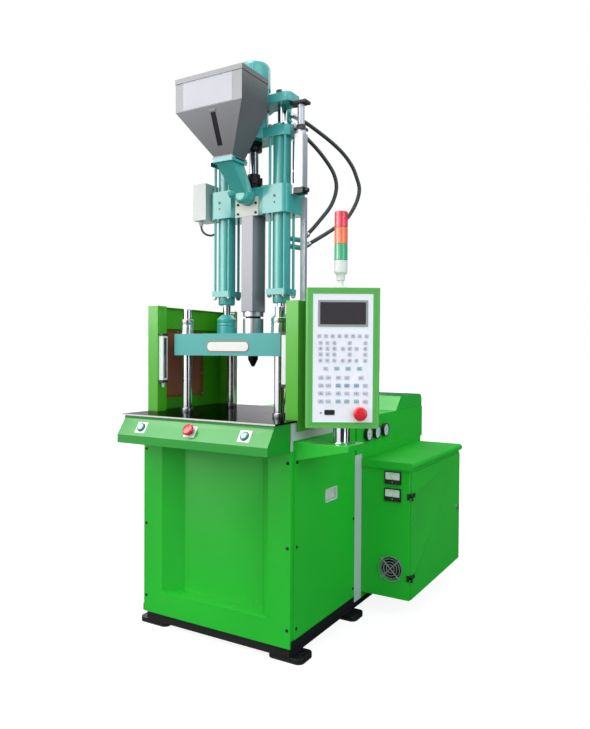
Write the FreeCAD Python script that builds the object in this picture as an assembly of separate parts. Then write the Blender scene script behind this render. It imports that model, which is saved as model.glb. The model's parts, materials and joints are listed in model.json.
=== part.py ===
import FreeCAD, Part
import math
import os

# A small vertical injection moulding machine, about 2.1 m tall.
# The mould goes between the fixed table and a platen that four tie bars pull down. The injection
# unit stands on the platen: two carriage cylinders lift it, two injection cylinders push the screw.
# Units are millimetres. X runs to the right along the front, Y to the back, Z up.
# Every size below is measured from the screw axis (X = 0, Y = 0) and from the floor (Z = 0).
# place() moves the finished solids so that the origin is the middle of the footprint on the floor.

V = FreeCAD.Vector
SIDES = (-1, 1)

# ---- clearances ----
SLIDE_GAP = 0.3      # between parts that slide or swing past each other
FIT_GAP = 0.05       # radial, a shaft or pin in its hole
HOLE_GAP = 0.2       # radial, a clamped bar in its hole
SHEET = 2.0          # sheet steel of panels and guards

# ---- base ----
BODY_HALF = 325.0    # half width of the base: posts, oil tank and rear box

# ---- skid and feet ----
FOOT_HEIGHT = 18.0
FOOT_OUT = BODY_HALF + 30    # outer end of a foot from the screw axis
FOOT_IN = FOOT_OUT - 133
FOOT_WIDTH = 90.0
FOOT_CORNER = 22.0
FOOT_YS = (-192.0, 215.0, 915.0)
ANCHOR_X = FOOT_OUT - 19
ANCHOR_HOLE_R = 7.0
RAIL_HEIGHT = 33.0
RAIL_WIDTH = 60.0
RAIL_OUT = BODY_HALF - 13
SKID_FRONT = -240.0
SKID_REAR = 964.0
CROSS_RAIL = 50.0

# ---- front cabinet ----
FRONT_Y = -249.0     # outer face of the front panel
FRONT_HALF = BODY_HALF - 5
FRONT_RETURN = 18.0
FRONT_TOP = 700.0
RECESS_HALF = FRONT_HALF - 88    # knee recess, at the panel's face
RECESS_DEPTH = 60.0
RECESS_BOTTOM = 137.0
SIDE_FACE = BODY_HALF + 0.5      # outer face of the side panels
SIDE_DEPTH = 8.0
SIDE_BOTTOM = 77.0
SIDE_TOP = 734.0
SIDE_REAR = 226.0
PULL_Y = 26.0
PULL_Z = 513.0
PULL_LENGTH = 84.0
PULL_HEIGHT = 41.0
PULL_DEPTH = 12.0
PULL_FRAME = 3.0
POST = 50.0
REAR_POST_DEPTH = 64.0
REAR_POST_FACE = BODY_HALF

# ---- table ----
TABLE_Z = 800.0
TABLE_PLATE = 6.0
TABLE_HALF = SIDE_FACE + 0.5
TABLE_FRONT = -356.0
BED_HALF = TABLE_HALF - 4
BED_THICK = 60.0
MOULD_BOLT_X = 200.0  # hole to hole, along X
MOULD_BOLT_Y = 120.0
MOULD_BOLT_R = 5.1   # tapped M12
MOULD_BOLT_DEPTH = 30.0

# ---- tie bars and platen ----
TIE_X = 205.0
TIE_Y = 140.0
TIE_R = 18.0
TIE_END_R = 16.0
BUSH_R = 25.0
BUSH_FLANGE_R = 23.0
BUSH_STANDS = 14.0   # above the table top
PLATEN_HALF_X = 240.0
PLATEN_HALF_Y = 180.0
PLATEN_THICK = 80.0
PLATEN_BOTTOM = 1010.0
PLATEN_HOLE_R = 50.0
PLATEN_CHAMFER = 6.0
CLAMP_STROKE = 150.0
NUT_R = 23.0
NUT_HEIGHT = 32.0
LOCK_NUT_HEIGHT = 20.0
WASHER_R = 27.0
WASHER = 3.0
THREAD_OVER = 38.0   # thread standing above the lock nut

# ---- clamp cylinder under the table ----
CLAMP_R = 80.0
CLAMP_BORE_R = 60.0
CLAMP_CAP = 20.0
CLAMP_GLAND = 40.0
CLAMP_ROD_R = 25.0
CLAMP_PISTON = 30.0
CLAMP_SPARE = 10.0
CROSSHEAD_THICK = 50.0
CROSSHEAD_HALF_X = 240.0
CROSSHEAD_HALF_Y = 172.0

# ---- console under the table's front edge ----
CONSOLE_HALF = TABLE_HALF - 8
CONSOLE_TOP_Y = -350.0
CONSOLE_NOSE_Y = -387.0
CONSOLE_BREAK_Z = 784.0
CONSOLE_NOSE_Z = 729.0
BUTTON_X = CONSOLE_HALF - 98
BUTTON_R = 10.0
BUTTON_PROUD = 7.0
BUTTON_TRAVEL = 4.0
BEZEL_R = 15.0
BEZEL_PROUD = 4.0
BUTTON_BODY = 30.0   # depth of a button behind the panel
STOP_R = 20.0
STOP_PROUD = 24.0
STOP_TRAVEL = 5.0

# ---- guards ----
GUARD_TOP = 1195.0
GUARD_FRONT = -221.0
GUARD_SKIRT = 763.0
GUARD_POST_X = 48.0
GUARD_POST_Y = 50.0
GUARD_RETURN_X = TABLE_HALF - 100   # inner edge of the stepped rear return
GUARD_STEP_X = TABLE_HALF - 46
GUARD_STEP = 18.0
GUARD_NOTCH = 0.3    # round a guard's foot in the table plate
GUARD_FOLD_Z = 1112.0   # a shallow channel under the top edge
GUARD_FOLD = 14.0
WINDOW_FRONT = -131.0
WINDOW_REAR = 91.0
WINDOW_BOTTOM = 855.0
WINDOW_TOP = 1095.0
WINDOW_LAP = 12.0
WINDOW_THICK = 3.0
CURTAIN_X = 20.0
CURTAIN_Y = 26.0
CURTAIN_BOTTOM = 917.0
CURTAIN_TOP = 1082.0
CURTAIN_CAP = 10.0
CURTAIN_GLAND = 18.0

# ---- carriage: lower cylinders, cross block, upper cylinders ----
CYL_X = 125.0        # both pairs of cylinders, from the screw axis
ROD_R = 15.0
CAP_R = 37.5
CAP_HEIGHT = 60.0
CAP_CONE = 17.0
LOW_NECK_Z = 1205.0
LOW_CAP_Z = 1235.0
LOW_CAP = 22.0
LOW_CAP_HALF = 41.5
LOW_NECK_R = 32.0
TUBE_R = 33.0
BORE_R = 28.0
PISTON = 28.0
TIE_ROD_R = 5.0
TIE_ROD_AT = 32.0
NOZZLE_STROKE = 100.0
BLOCK_BOTTOM = 1533.0
BLOCK_TOP = 1636.0
BLOCK_FRONT = -50.0
BLOCK_REAR = 84.0
BLOCK_HALF = 175.0
BLOCK_RECESS_HALF = 72.0
BLOCK_RECESS_Y = -36.0
BLOCK_CORNER = 22.0
HEAD_BOTTOM = 1814.0
HEAD_TOP = 1850.0
HEAD_RING_TOP = 1858.0
HEAD_HALF_X = 172.0
HEAD_HALF_Y = 39.0
HEAD_RING_R = 38.0
INJECT_ROD_R = 17.0
INJECT_STROKE = 70.0

# ---- barrel and screw ----
BARREL_R = 28.0
SCREW_R = 15.0
SCREW_ROOT_R = 11.0
SHANK_R = 17.0
BARREL_BOTTOM = 1075.0
FLANGE_BOTTOM = 1656.0
FLANGE_TOP = 1677.0
FLANGE_R = 33.0
COLLAR_TOP = 1694.0
COLLAR_R = 24.0
FLANGE_BOLTS = 6
NOZZLE_TIP = 968.0
NOZZLE_R = 19.0
NOZZLE_HEX = 46.0
HEATER_R = 39.0
HEATERS = [(1094.0, 1150.0), (1158.0, 1200.0), (1230.0, 1300.0), (1340.0, 1410.0), (1440.0, 1510.0)]
COVER_FLATS = 87.0
COVER_BOTTOM = 1176.0
COVER_SHEET = 1.5

# ---- crosshead and drive ----
DRIVE_R = 55.0
DRIVE_BOTTOM = 1815.0
DRIVE_SHAFT_R = 12.0
DRIVE_SHAFT = 32.0
TOP_PLATE_BOTTOM = 1933.0
TOP_PLATE = 33.0
TOP_PLATE_HALF_X = 180.0
TOP_PLATE_HALF_Y = 42.0
TOP_PLATE_HUB_R = 64.0
MOTOR_R = 62.0
MOTOR_TOP = 2106.0
MOTOR_ROUND = 18.0
COUPLING_R = 31.0
COUPLING_BOTTOM = 1781.0
ROD_NUT = 46.0       # across flats
ROD_NUT_HEIGHT = 30.0
PORT_LEFT = 80.0     # hose manifold behind the crosshead
PORT_RIGHT = 118.0
PORT_DEPTH = 36.0
PORT_BOTTOM = 1890.0
PORT_TOP = 1986.0
ELBOW = 14.0         # from a hose's end to the corner of its fitting

# ---- position transducers ----
SENSOR_X = 205.0
SENSOR_HALF = 19.0
SENSOR_BOTTOM = 1650.0
SENSOR_TOP = 1815.0
SENSOR_CAP = 22.0
SENSOR_FOOT = 50.0
SLEEVE_R = 13.0
SLEEVE_BOTTOM = 1785.0
SCALE_X = 20.0
SCALE_Y = 16.0
SCALE_AT_Y = 60.0
SCALE_BOTTOM = 1150.0
SCALE_TOP = 1600.0

# ---- hopper, gate and chute ----
HOPPER_LEFT = -189.0
HOPPER_RIGHT = 104.0
HOPPER_FRONT = -229.0
HOPPER_REAR = -68.0
HOPPER_BREAK_Z = 1889.0
HOPPER_TOP = 2006.0
OUTLET_X = -22.0
OUTLET_Y = -124.0
OUTLET_HALF = 37.0
OUTLET_Z = 1722.0
HOPPER_SHEET = 2.0
HOPPER_FOOT = 6.0
HOPPER_FOOT_HALF = 45.0
LID_SHEET = 2.0
LID_RIM = 16.0
LID_PIN_R = 3.0
LID_ROLL_R = 5.0
EAR = 10.0
EAR_INSET = 12.0
SIGHT_TOP = 1868.0
SIGHT_BOTTOM = 1762.0
SIGHT_WIDTH = 22.0
GATE_HALF_Y = 30.0
GATE_STROKE = 72.0
GATE_TAB = 22.0
CHUTE_FLANGE = 8.0
CHUTE_FLANGE_HALF = 46.0
CHUTE_WALL = 8.0
SPOUT_R = 11.0
DOME_R = 30.0
DOME_Z = 1602.0
DOME_FRONT = -92.0
FEED_R = 12.0
BOX_LEFT = -236.0
BOX_FRONT = -70.0
BOX_REAR = 10.0
BOX_BOTTOM = 1531.0
BOX_TOP = 1671.0

# ---- control panel on its arm ----
POLE_X = BODY_HALF + 135
POLE_Y = -165.0
POLE_R = 28.0
ARM_TOP = 730.0
ARM_TIP_X = POLE_X + 58
ARM_FRONT = -231.0
ARM_REAR = -110.0
ARM_ROOT_Z = 669.0
ARM_TIP_Z = 712.0
ARM_SHEET = 3.0
PANEL_TURN = 30.5    # degrees about the pole, as it stands in the photograph
PANEL_WIDTH = 237.0
PANEL_BOTTOM = 782.0
PANEL_HEIGHT = 449.0
PANEL_DEPTH = 70.0
PANEL_CORNER = 8.0
PANEL_RIM = 16.0     # green rim at the sides of the white face
PANEL_RIM_END = 17.0
FACE_WIDTH = PANEL_WIDTH - 2 * PANEL_RIM
FACE_HEIGHT = PANEL_HEIGHT - 2 * PANEL_RIM_END
FACE_BOTTOM = PANEL_BOTTOM + PANEL_RIM_END
FACE_RECESS = 3.0
SCREEN_WIDTH = FACE_WIDTH * 0.75
SCREEN_HEIGHT = FACE_HEIGHT * 0.19
SCREEN_TOP = FACE_HEIGHT * 0.062    # below the top edge of the white face
PANEL_STOP_X = FACE_WIDTH * 0.273
PANEL_STOP_Z = FACE_BOTTOM + FACE_HEIGHT * 0.073
PANEL_STOP_R = 22.0
SOCKET_X = -FACE_WIDTH * 0.2
SOCKET_WIDTH = 30.0
SOCKET_HEIGHT = 13.0
SOCKET_DEEP = 2.0
KEY = 12.0           # height of a membrane key
KEY_PROUD = 0.8
TOWER_X = -6.0
TOWER_R = 21.5
TOWER_STEM_R = 9.0
TOWER_STEM = 25.0    # from the case to the foot of the tower's base
TOWER_LENS = 53.0
TOWER_STEPS = (0.0, 26.0, 65.0, 65.0 + TOWER_LENS, 65.0 + 2 * TOWER_LENS, 65.0 + 3 * TOWER_LENS)

# ---- rear unit ----
TANK_FRONT = 290.0
TANK_REAR = 962.0
TANK_HALF = BODY_HALF
TANK_TOP = 625.0
TANK_WALL = 4.0
REAR_BOX_FRONT = 240.0
REAR_BOX_REAR = 980.0
REAR_BOX_HALF = BODY_HALF
REAR_BOX_TOP = 768.0
COVER_FRONT = 658.0
COVER_REAR = 990.0
REAR_COVER_TOP = 828.0
REAR_COVER_ROUND = 30.0
PUMP_MOTOR_R = 70.0
PUMP_MOTOR_Z = TANK_TOP + 90
PUMP_MOTOR_BACK = 46.0    # from the cover's front edge to the motor's flange
PUMP_FLANGE = 14.0
PUMP_R = 38.0
PUMP_LENGTH = 96.0
PUMP_MOTOR_GAP = 40.0     # behind the motor, inside the cover
GAUGE_YS = (327.0, 410.0, 498.0)
GAUGE_Z = 700.0
GAUGE_R = 29.0
GAUGE_PROUD = 18.0

# ---- electrical cabinet ----
CAB_FRONT = 290.0
CAB_REAR = 920.0
CAB_BOTTOM = 77.0
CAB_TOP = 576.0
CAB_RIGHT = BODY_HALF + 201
CAB_LIP = 12.0
LID_TOP = 605.0
LID_ROLL = 14.0      # radius of the rolled edge over the door
LID_ROLL_X = CAB_RIGHT
DOOR_GAP = 2.0
DOOR_TOP = 566.0
DOOR_THICK = 2.0
DOOR_RIB = 10.0
HINGE_X = CAB_RIGHT + 7
HINGE_Y = 293.0
HINGE_ZS = (475.0, 162.0)
HINGE_R = 5.5
HINGE_HEIGHT = 24.0
HINGE_PIN_R = 3.0
LOCK_Y = CAB_REAR - 34
LOCK_Z = 320.0
LOCK_R = 8.0
LOCK_HEAD_R = 13.0
METER_X = BODY_HALF + 132
METER_ZS = (543.0, 477.0)
METER_WIDTH = 67.0
METER_HEIGHT = 50.0
METER_PROUD = 8.0
FAN_X = BODY_HALF + 125
FAN_Z = 190.0
FAN_HALF = 46.0
FAN_BORE_R = 43.0
FAN_DEPTH = 25.0
FAN_HUB_R = 19.0
FAN_TIP_R = 41.0
FAN_BLADES = 7
GEAR_PLATE = 3.0     # mounting plate in the cabinet
GEAR_INSET = 45.0
DRIVE_BOX = (110.0, 190.0, 240.0)      # out from the plate, along it, up
CONTACTOR = (80.0, 40.0, 80.0)
CONTACTORS = 5
TRANSFORMER = (60.0, 220.0, 60.0)
TERMINAL_ROW = 30.0

# ---- hoses ----
HOSE_R = 7.5
HOSE_UPPER = [(126, 74, 1920), (159, 110, 1901), (194, 149, 1870), (229, 189, 1838), (266, 229, 1795),
              (291, 257, 1748), (301, 269, 1711), (311, 280, 1669), (306, 274, 1626), (292, 258, 1581),
              (273, 237, 1540), (234, 194, 1498), (196, 151, 1461), (160, 112, 1429)]
HOSE_LOWER = [(127, 75, 1884), (147, 97, 1861), (168, 121, 1834), (194, 150, 1800), (219, 177, 1758),
              (238, 199, 1718), (247, 208, 1673), (242, 202, 1626), (228, 187, 1582), (206, 163, 1542),
              (179, 133, 1493), (158, 109, 1461)]

# ---- values that follow from the sizes above ----
PANEL_INSIDE = FRONT_Y + SHEET
BED_BOTTOM = TABLE_Z - TABLE_PLATE - BED_THICK
BED_TOP = TABLE_Z - TABLE_PLATE
PLATEN_TOP = PLATEN_BOTTOM + PLATEN_THICK
TIE_NUT_TOP = PLATEN_TOP + WASHER + NUT_HEIGHT + LOCK_NUT_HEIGHT
TIE_TOP = TIE_NUT_TOP + THREAD_OVER
CLAMP_CHAMBER = CLAMP_STROKE + CLAMP_PISTON + CLAMP_SPARE
CLAMP_BOTTOM = BED_BOTTOM - CLAMP_CAP - CLAMP_CHAMBER - CLAMP_GLAND
CROSSHEAD_TOP = CLAMP_BOTTOM - CLAMP_SPARE
CROSSHEAD_BOTTOM = CROSSHEAD_TOP - CROSSHEAD_THICK
RAIL_TOP = FOOT_HEIGHT + RAIL_HEIGHT
SLOPE = V(0, CONSOLE_NOSE_Y - CONSOLE_TOP_Y, CONSOLE_NOSE_Z - CONSOLE_BREAK_Z)
PRESS = V(0, -SLOPE.z, SLOPE.y).normalize()      # into the sloped face of the console
BUTTON_Y = (CONSOLE_TOP_Y + CONSOLE_NOSE_Y) / 2
BUTTON_Z = (CONSOLE_BREAK_Z + CONSOLE_NOSE_Z) / 2
LID_AXIS_X = HOPPER_LEFT - LID_ROLL_R - SLIDE_GAP
LID_AXIS_Z = HOPPER_TOP + SLIDE_GAP
TOP_PLATE_TOP = TOP_PLATE_BOTTOM + TOP_PLATE
TURN = math.radians(PANEL_TURN)
PANEL_REACH = ((PANEL_WIDTH / 2 - PANEL_CORNER) * math.cos(TURN) + (PANEL_DEPTH / 2 - PANEL_CORNER) * math.sin(TURN)
               + PANEL_CORNER)
ORIGIN_X = (POLE_X + PANEL_REACH - FOOT_OUT) / 2
ORIGIN_Y = (CONSOLE_NOSE_Y + COVER_REAR) / 2


# ---- small helpers ----
def block(x0, x1, y0, y1, z0, z1):
    """A box between two corners."""
    return Part.makeBox(x1 - x0, y1 - y0, z1 - z0, V(x0, y0, z0))


def rod(radius, z0, z1, x=0.0, y=0.0):
    """An upright cylinder."""
    return Part.makeCylinder(radius, z1 - z0, V(x, y, z0))


def bar(radius, start, end):
    """A cylinder from one point to another."""
    return Part.makeCylinder(radius, (end - start).Length, start, end - start)


def pipe(outer, inner, z0, z1, x=0.0, y=0.0):
    """An upright tube."""
    return rod(outer, z0, z1, x, y).cut(rod(inner, z0 - 1, z1 + 1, x, y))


def plate(points, z0, z1):
    """A flat outline of (x, y) points, raised from z0 to z1."""
    outline = Part.makePolygon([V(x, y, z0) for x, y in points + points[:1]])
    return Part.Face(outline).extrude(V(0, 0, z1 - z0))


def rib(points, x0, x1):
    """An outline of (y, z) points, carried from x0 to x1."""
    outline = Part.makePolygon([V(x0, y, z) for y, z in points + points[:1]])
    return Part.Face(outline).extrude(V(x1 - x0, 0, 0))


def turned(profile, x=0.0, y=0.0):
    """An outline of (radius, z) points, turned about an upright axis."""
    outline = Part.makePolygon([V(r, 0, z) for r, z in profile + profile[:1]])
    solid = Part.Face(outline).revolve(V(0, 0, 0), V(0, 0, 1), 360)
    solid.translate(V(x, y, 0))
    return solid


def hexagon(flats, z0, z1, x=0.0, y=0.0):
    """A hexagonal bar with two flats that face the front and the back."""
    corner = flats / math.sqrt(3)
    angles = [math.radians(60 * i) for i in range(6)]
    return plate([(x + corner * math.cos(a), y + corner * math.sin(a)) for a in angles], z0, z1)


def upright_edges(shape, z0, z1):
    """The edges that run from z0 to z1."""
    found = []
    for edge in shape.Edges:
        box = edge.BoundBox
        if abs(box.ZMin - z0) < 0.01 and abs(box.ZMax - z1) < 0.01 and box.XLength + box.YLength < 0.01:
            found.append(edge)
    return found


def rounded_block(x0, x1, y0, y1, z0, z1, radius):
    """A box with its upright edges rounded."""
    shape = block(x0, x1, y0, y1, z0, z1)
    return shape.makeFillet(radius, upright_edges(shape, z0, z1))


def folded(points, thickness, z0, z1):
    """Sheet bent along a line of (x, y) points, its thickness to the left of the line."""
    def left(a, b):
        length = math.hypot(b[0] - a[0], b[1] - a[1])
        return -(b[1] - a[1]) / length, (b[0] - a[0]) / length

    inner = []
    for i, (x, y) in enumerate(points):
        before = left(points[i - 1], points[i]) if i else left(points[0], points[1])
        after = left(points[i], points[i + 1]) if i < len(points) - 1 else before
        scale = thickness / (1 + before[0] * after[0] + before[1] * after[1])
        inner.append((x + scale * (before[0] + after[0]), y + scale * (before[1] + after[1])))
    return plate(points + inner[::-1], z0, z1)


def mirrored(shape):
    """The same shape on the other side of the screw axis."""
    return shape.mirror(V(0, 0, 0), V(1, 0, 0))


def both_sides(shape):
    return Part.makeCompound([shape, mirrored(shape)])


def fused(shapes):
    return shapes[0].multiFuse(shapes[1:]).removeSplitter()


def tie_points():
    return [(sx * TIE_X, sy * TIE_Y) for sx in SIDES for sy in SIDES]


def frustum(x, y, half_low, half_high, z0, z1, shift=(0.0, 0.0)):
    """A loft between two squares, the lower at (x, y) and the upper moved by shift."""
    wires = []
    for half, z, dx, dy in ((half_low, z0, 0, 0), (half_high, z1, shift[0], shift[1])):
        corners = [(-half, -half), (half, -half), (half, half), (-half, half), (-half, -half)]
        wires.append(Part.makePolygon([V(x + dx + a, y + dy + b, z) for a, b in corners]))
    return Part.makeLoft(wires, True, True)


# ---- skid and frame ----
def base_skid():
    """Two long rails and three cross rails on six foot plates; the corner feet have anchor holes."""
    pieces = []
    for side in SIDES:
        inner, outer = sorted((side * (RAIL_OUT - RAIL_WIDTH), side * RAIL_OUT))
        pieces.append(block(inner, outer, SKID_FRONT, SKID_REAR, FOOT_HEIGHT, RAIL_TOP))
        for y in FOOT_YS:
            x0, x1 = sorted((side * FOOT_IN, side * FOOT_OUT))
            foot = rounded_block(x0, x1, y - FOOT_WIDTH / 2, y + FOOT_WIDTH / 2, 0, FOOT_HEIGHT, FOOT_CORNER)
            if y != FOOT_YS[1]:
                foot = foot.cut(rod(ANCHOR_HOLE_R, -1, FOOT_HEIGHT + 1, side * ANCHOR_X, y))
            pieces.append(foot)
    inner = RAIL_OUT - RAIL_WIDTH
    for y in (SKID_FRONT, SIDE_REAR + 10, SKID_REAR - CROSS_RAIL):
        pieces.append(block(-inner, inner, y, y + CROSS_RAIL, FOOT_HEIGHT, RAIL_TOP))
    return Part.makeCompound(pieces)


def frame_posts():
    """Square steel posts: four under the bed and two between the bed and the oil tank."""
    outer = SIDE_FACE - SIDE_DEPTH
    posts = [block(REAR_POST_FACE - POST, REAR_POST_FACE, SIDE_REAR, SIDE_REAR + REAR_POST_DEPTH, RAIL_TOP, TANK_TOP)]
    for y in (PANEL_INSIDE, SIDE_REAR - POST):
        posts.append(block(outer - POST, outer, y, y + POST, RAIL_TOP, BED_BOTTOM))
    return Part.makeCompound([both_sides(p) for p in posts])


def front_panel():
    """One folded sheet with side returns and a splayed knee recess."""
    recess_y = FRONT_Y + RECESS_DEPTH
    back_half = RECESS_HALF - RECESS_DEPTH
    rear = FRONT_Y + FRONT_RETURN
    ends = [(FRONT_HALF, FRONT_Y), (FRONT_HALF, rear)]
    starts = [(-x, y) for x, y in ends[::-1]]
    pan = [(-RECESS_HALF, FRONT_Y), (-back_half, recess_y), (back_half, recess_y), (RECESS_HALF, FRONT_Y)]
    upper = folded(starts + pan + ends, SHEET, RECESS_BOTTOM, FRONT_TOP)
    lower = folded(starts + ends, SHEET, RAIL_TOP, RECESS_BOTTOM)
    inner = [(-RECESS_HALF, FRONT_Y), (RECESS_HALF, FRONT_Y), (back_half, recess_y + SHEET), (-back_half, recess_y + SHEET)]
    ledge = plate(inner, RECESS_BOTTOM - SHEET, RECESS_BOTTOM)
    return fused([upper, lower, ledge])


def side_panels():
    """A folded tray each side, with a sunk pull handle."""
    tray = block(SIDE_FACE - SIDE_DEPTH, SIDE_FACE, FRONT_Y + FRONT_RETURN, SIDE_REAR, SIDE_BOTTOM, SIDE_TOP)
    inside = block(SIDE_FACE - SIDE_DEPTH - 1, SIDE_FACE - SHEET, FRONT_Y + FRONT_RETURN + SHEET,
                   SIDE_REAR - SHEET, SIDE_BOTTOM + SHEET, SIDE_TOP - SHEET)
    tray = tray.cut(inside)
    y0, z0 = PULL_Y - PULL_LENGTH / 2, PULL_Z - PULL_HEIGHT / 2
    cup = block(SIDE_FACE - PULL_DEPTH, SIDE_FACE, y0 - SHEET, y0 + PULL_LENGTH + SHEET,
                z0 - SHEET, z0 + PULL_HEIGHT + SHEET)
    hollow = block(SIDE_FACE - PULL_DEPTH + SHEET, SIDE_FACE + 3, y0, y0 + PULL_LENGTH, z0, z0 + PULL_HEIGHT)
    frame = block(SIDE_FACE, SIDE_FACE + 1.5, y0 - PULL_FRAME, y0 + PULL_LENGTH + PULL_FRAME,
                  z0 - PULL_FRAME, z0 + PULL_HEIGHT + PULL_FRAME)
    return both_sides(fused([tray, cup, frame]).cut(hollow))


# ---- table and console ----
def table_plate():
    """The polished plate over the bed, with holes for the tie bar bushes and the mould bolts."""
    shape = block(-TABLE_HALF, TABLE_HALF, TABLE_FRONT, SIDE_REAR, BED_TOP, TABLE_Z)
    for x, y in tie_points():
        shape = shape.cut(rod(BUSH_R + HOLE_GAP, BED_TOP - 1, TABLE_Z + 1, x, y))
    shape = shape.cut(guard_notches())
    return shape.cut(mould_bolt_holes(BED_TOP - 1, TABLE_Z + 1))


def guard_notches():
    """Cut-outs in the plate for the guards' posts and stepped returns, which stand on the bed."""
    z0, z1 = BED_TOP - 1, TABLE_Z + 1

    def round_foot(x0, x1, y0, y1):
        return block(x0 - GUARD_NOTCH, x1 + GUARD_NOTCH, y0 - GUARD_NOTCH, y1 + GUARD_NOTCH, z0, z1)

    low = SIDE_REAR - GUARD_STEP
    post = round_foot(TABLE_HALF + SHEET - GUARD_POST_X, TABLE_HALF, GUARD_FRONT, GUARD_FRONT + GUARD_POST_Y)
    outer = round_foot(GUARD_STEP_X - SHEET, TABLE_HALF, SIDE_REAR - SHEET, SIDE_REAR)
    middle = round_foot(GUARD_RETURN_X - SHEET, GUARD_STEP_X, low, SIDE_REAR)
    tail = round_foot(GUARD_RETURN_X - SHEET, GUARD_RETURN_X, low - GUARD_STEP, low)
    return both_sides(fused([post, outer, middle, tail]))


def mould_bolt_holes(z0, z1):
    spots = [(sx * MOULD_BOLT_X / 2, sy * MOULD_BOLT_Y / 2) for sx in SIDES for sy in SIDES]
    return Part.makeCompound([rod(MOULD_BOLT_R, z0, z1, x, y) for x, y in spots])


def bed_plate():
    """The thick plate that carries the mould, bored for the four tie bar bushes."""
    shape = block(-BED_HALF, BED_HALF, FRONT_Y, SIDE_REAR, BED_BOTTOM, BED_TOP)
    for x, y in tie_points():
        shape = shape.cut(rod(BUSH_R, BED_BOTTOM - 1, BED_TOP + 1, x, y))
    return shape.cut(mould_bolt_holes(BED_TOP - MOULD_BOLT_DEPTH, BED_TOP + 1))


def guide_bushes():
    """Four bronze bushes with a wiper collar standing above the table."""
    top = TABLE_Z + BUSH_STANDS
    bore = TIE_R + FIT_GAP
    profile = [(bore, BED_BOTTOM), (BUSH_R, BED_BOTTOM), (BUSH_R, TABLE_Z), (BUSH_FLANGE_R, TABLE_Z),
               (BUSH_FLANGE_R, top - 3), (BUSH_FLANGE_R - 3, top), (bore, top)]
    return Part.makeCompound([turned(profile, x, y) for x, y in tie_points()])


def console():
    """The folded push-button console under the table's front edge, open at the back."""
    outer = [(FRONT_Y, BED_TOP), (CONSOLE_TOP_Y, BED_TOP), (CONSOLE_TOP_Y, CONSOLE_BREAK_Z),
             (CONSOLE_NOSE_Y, CONSOLE_NOSE_Z), (CONSOLE_NOSE_Y, FRONT_TOP), (FRONT_Y, FRONT_TOP)]
    shape = rib(outer, -CONSOLE_HALF, CONSOLE_HALF)
    inner = [(FRONT_Y + 1, BED_TOP - SHEET), (CONSOLE_TOP_Y + SHEET, BED_TOP - SHEET),
             (CONSOLE_TOP_Y + SHEET, CONSOLE_BREAK_Z - SHEET / 2), (CONSOLE_NOSE_Y + SHEET, CONSOLE_NOSE_Z - SHEET / 2),
             (CONSOLE_NOSE_Y + SHEET, FRONT_TOP + SHEET), (FRONT_Y + 1, FRONT_TOP + SHEET)]
    shape = shape.cut(rib(inner, -CONSOLE_HALF + SHEET, CONSOLE_HALF - SHEET))
    for x in (-BUTTON_X, 0, BUTTON_X):
        shape = shape.cut(pressed(x, BUTTON_R + SHEET, -SHEET * 4, SHEET * 4))
    return shape


def pressed(x, radius, start, end):
    """A cylinder square to the console's slope: start and end are heights above its face."""
    face = V(x, BUTTON_Y, BUTTON_Z)
    return bar(radius, face - PRESS * start, face - PRESS * end)


def button_bezels():
    """Two bezel rings for the start buttons and a collar for the emergency stop."""
    rings = []
    for x in (-BUTTON_X, 0, BUTTON_X):
        ring = fused([pressed(x, BEZEL_R, 0, BEZEL_PROUD), pressed(x, BUTTON_R + SHEET - HOLE_GAP, -BUTTON_BODY, 0)])
        rings.append(ring.cut(pressed(x, BUTTON_R + SLIDE_GAP, -BUTTON_BODY + SHEET, BEZEL_PROUD + 1)))
    return Part.makeCompound(rings)


def start_button(side):
    return pressed(side * BUTTON_X, BUTTON_R, -BUTTON_TRAVEL * 4, BUTTON_PROUD + 1)


def console_stop():
    """A mushroom head on a stem."""
    return mushroom(BUTTON_R, STOP_R, STOP_TRAVEL, STOP_PROUD, BEZEL_PROUD, pressed_at(0))


def pressed_at(x):
    return V(x, BUTTON_Y, BUTTON_Z), PRESS * -1


def mushroom(stem_r, head_r, travel, proud, collar, where):
    """An emergency-stop knob along a direction: stem, tapered neck and domed head."""
    point, outward = where
    under = collar + travel + 1
    profile = [(0, -3 * travel), (stem_r, -3 * travel), (stem_r, under - 0.5), (head_r * 0.7, under),
               (head_r, under + 4), (head_r, proud - 6), (head_r * 0.86, proud - 2), (head_r * 0.5, proud),
               (0, proud)]
    solid = turned(profile)
    solid.Placement = FreeCAD.Placement(point, FreeCAD.Rotation(V(0, 0, 1), outward))
    return solid


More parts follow.
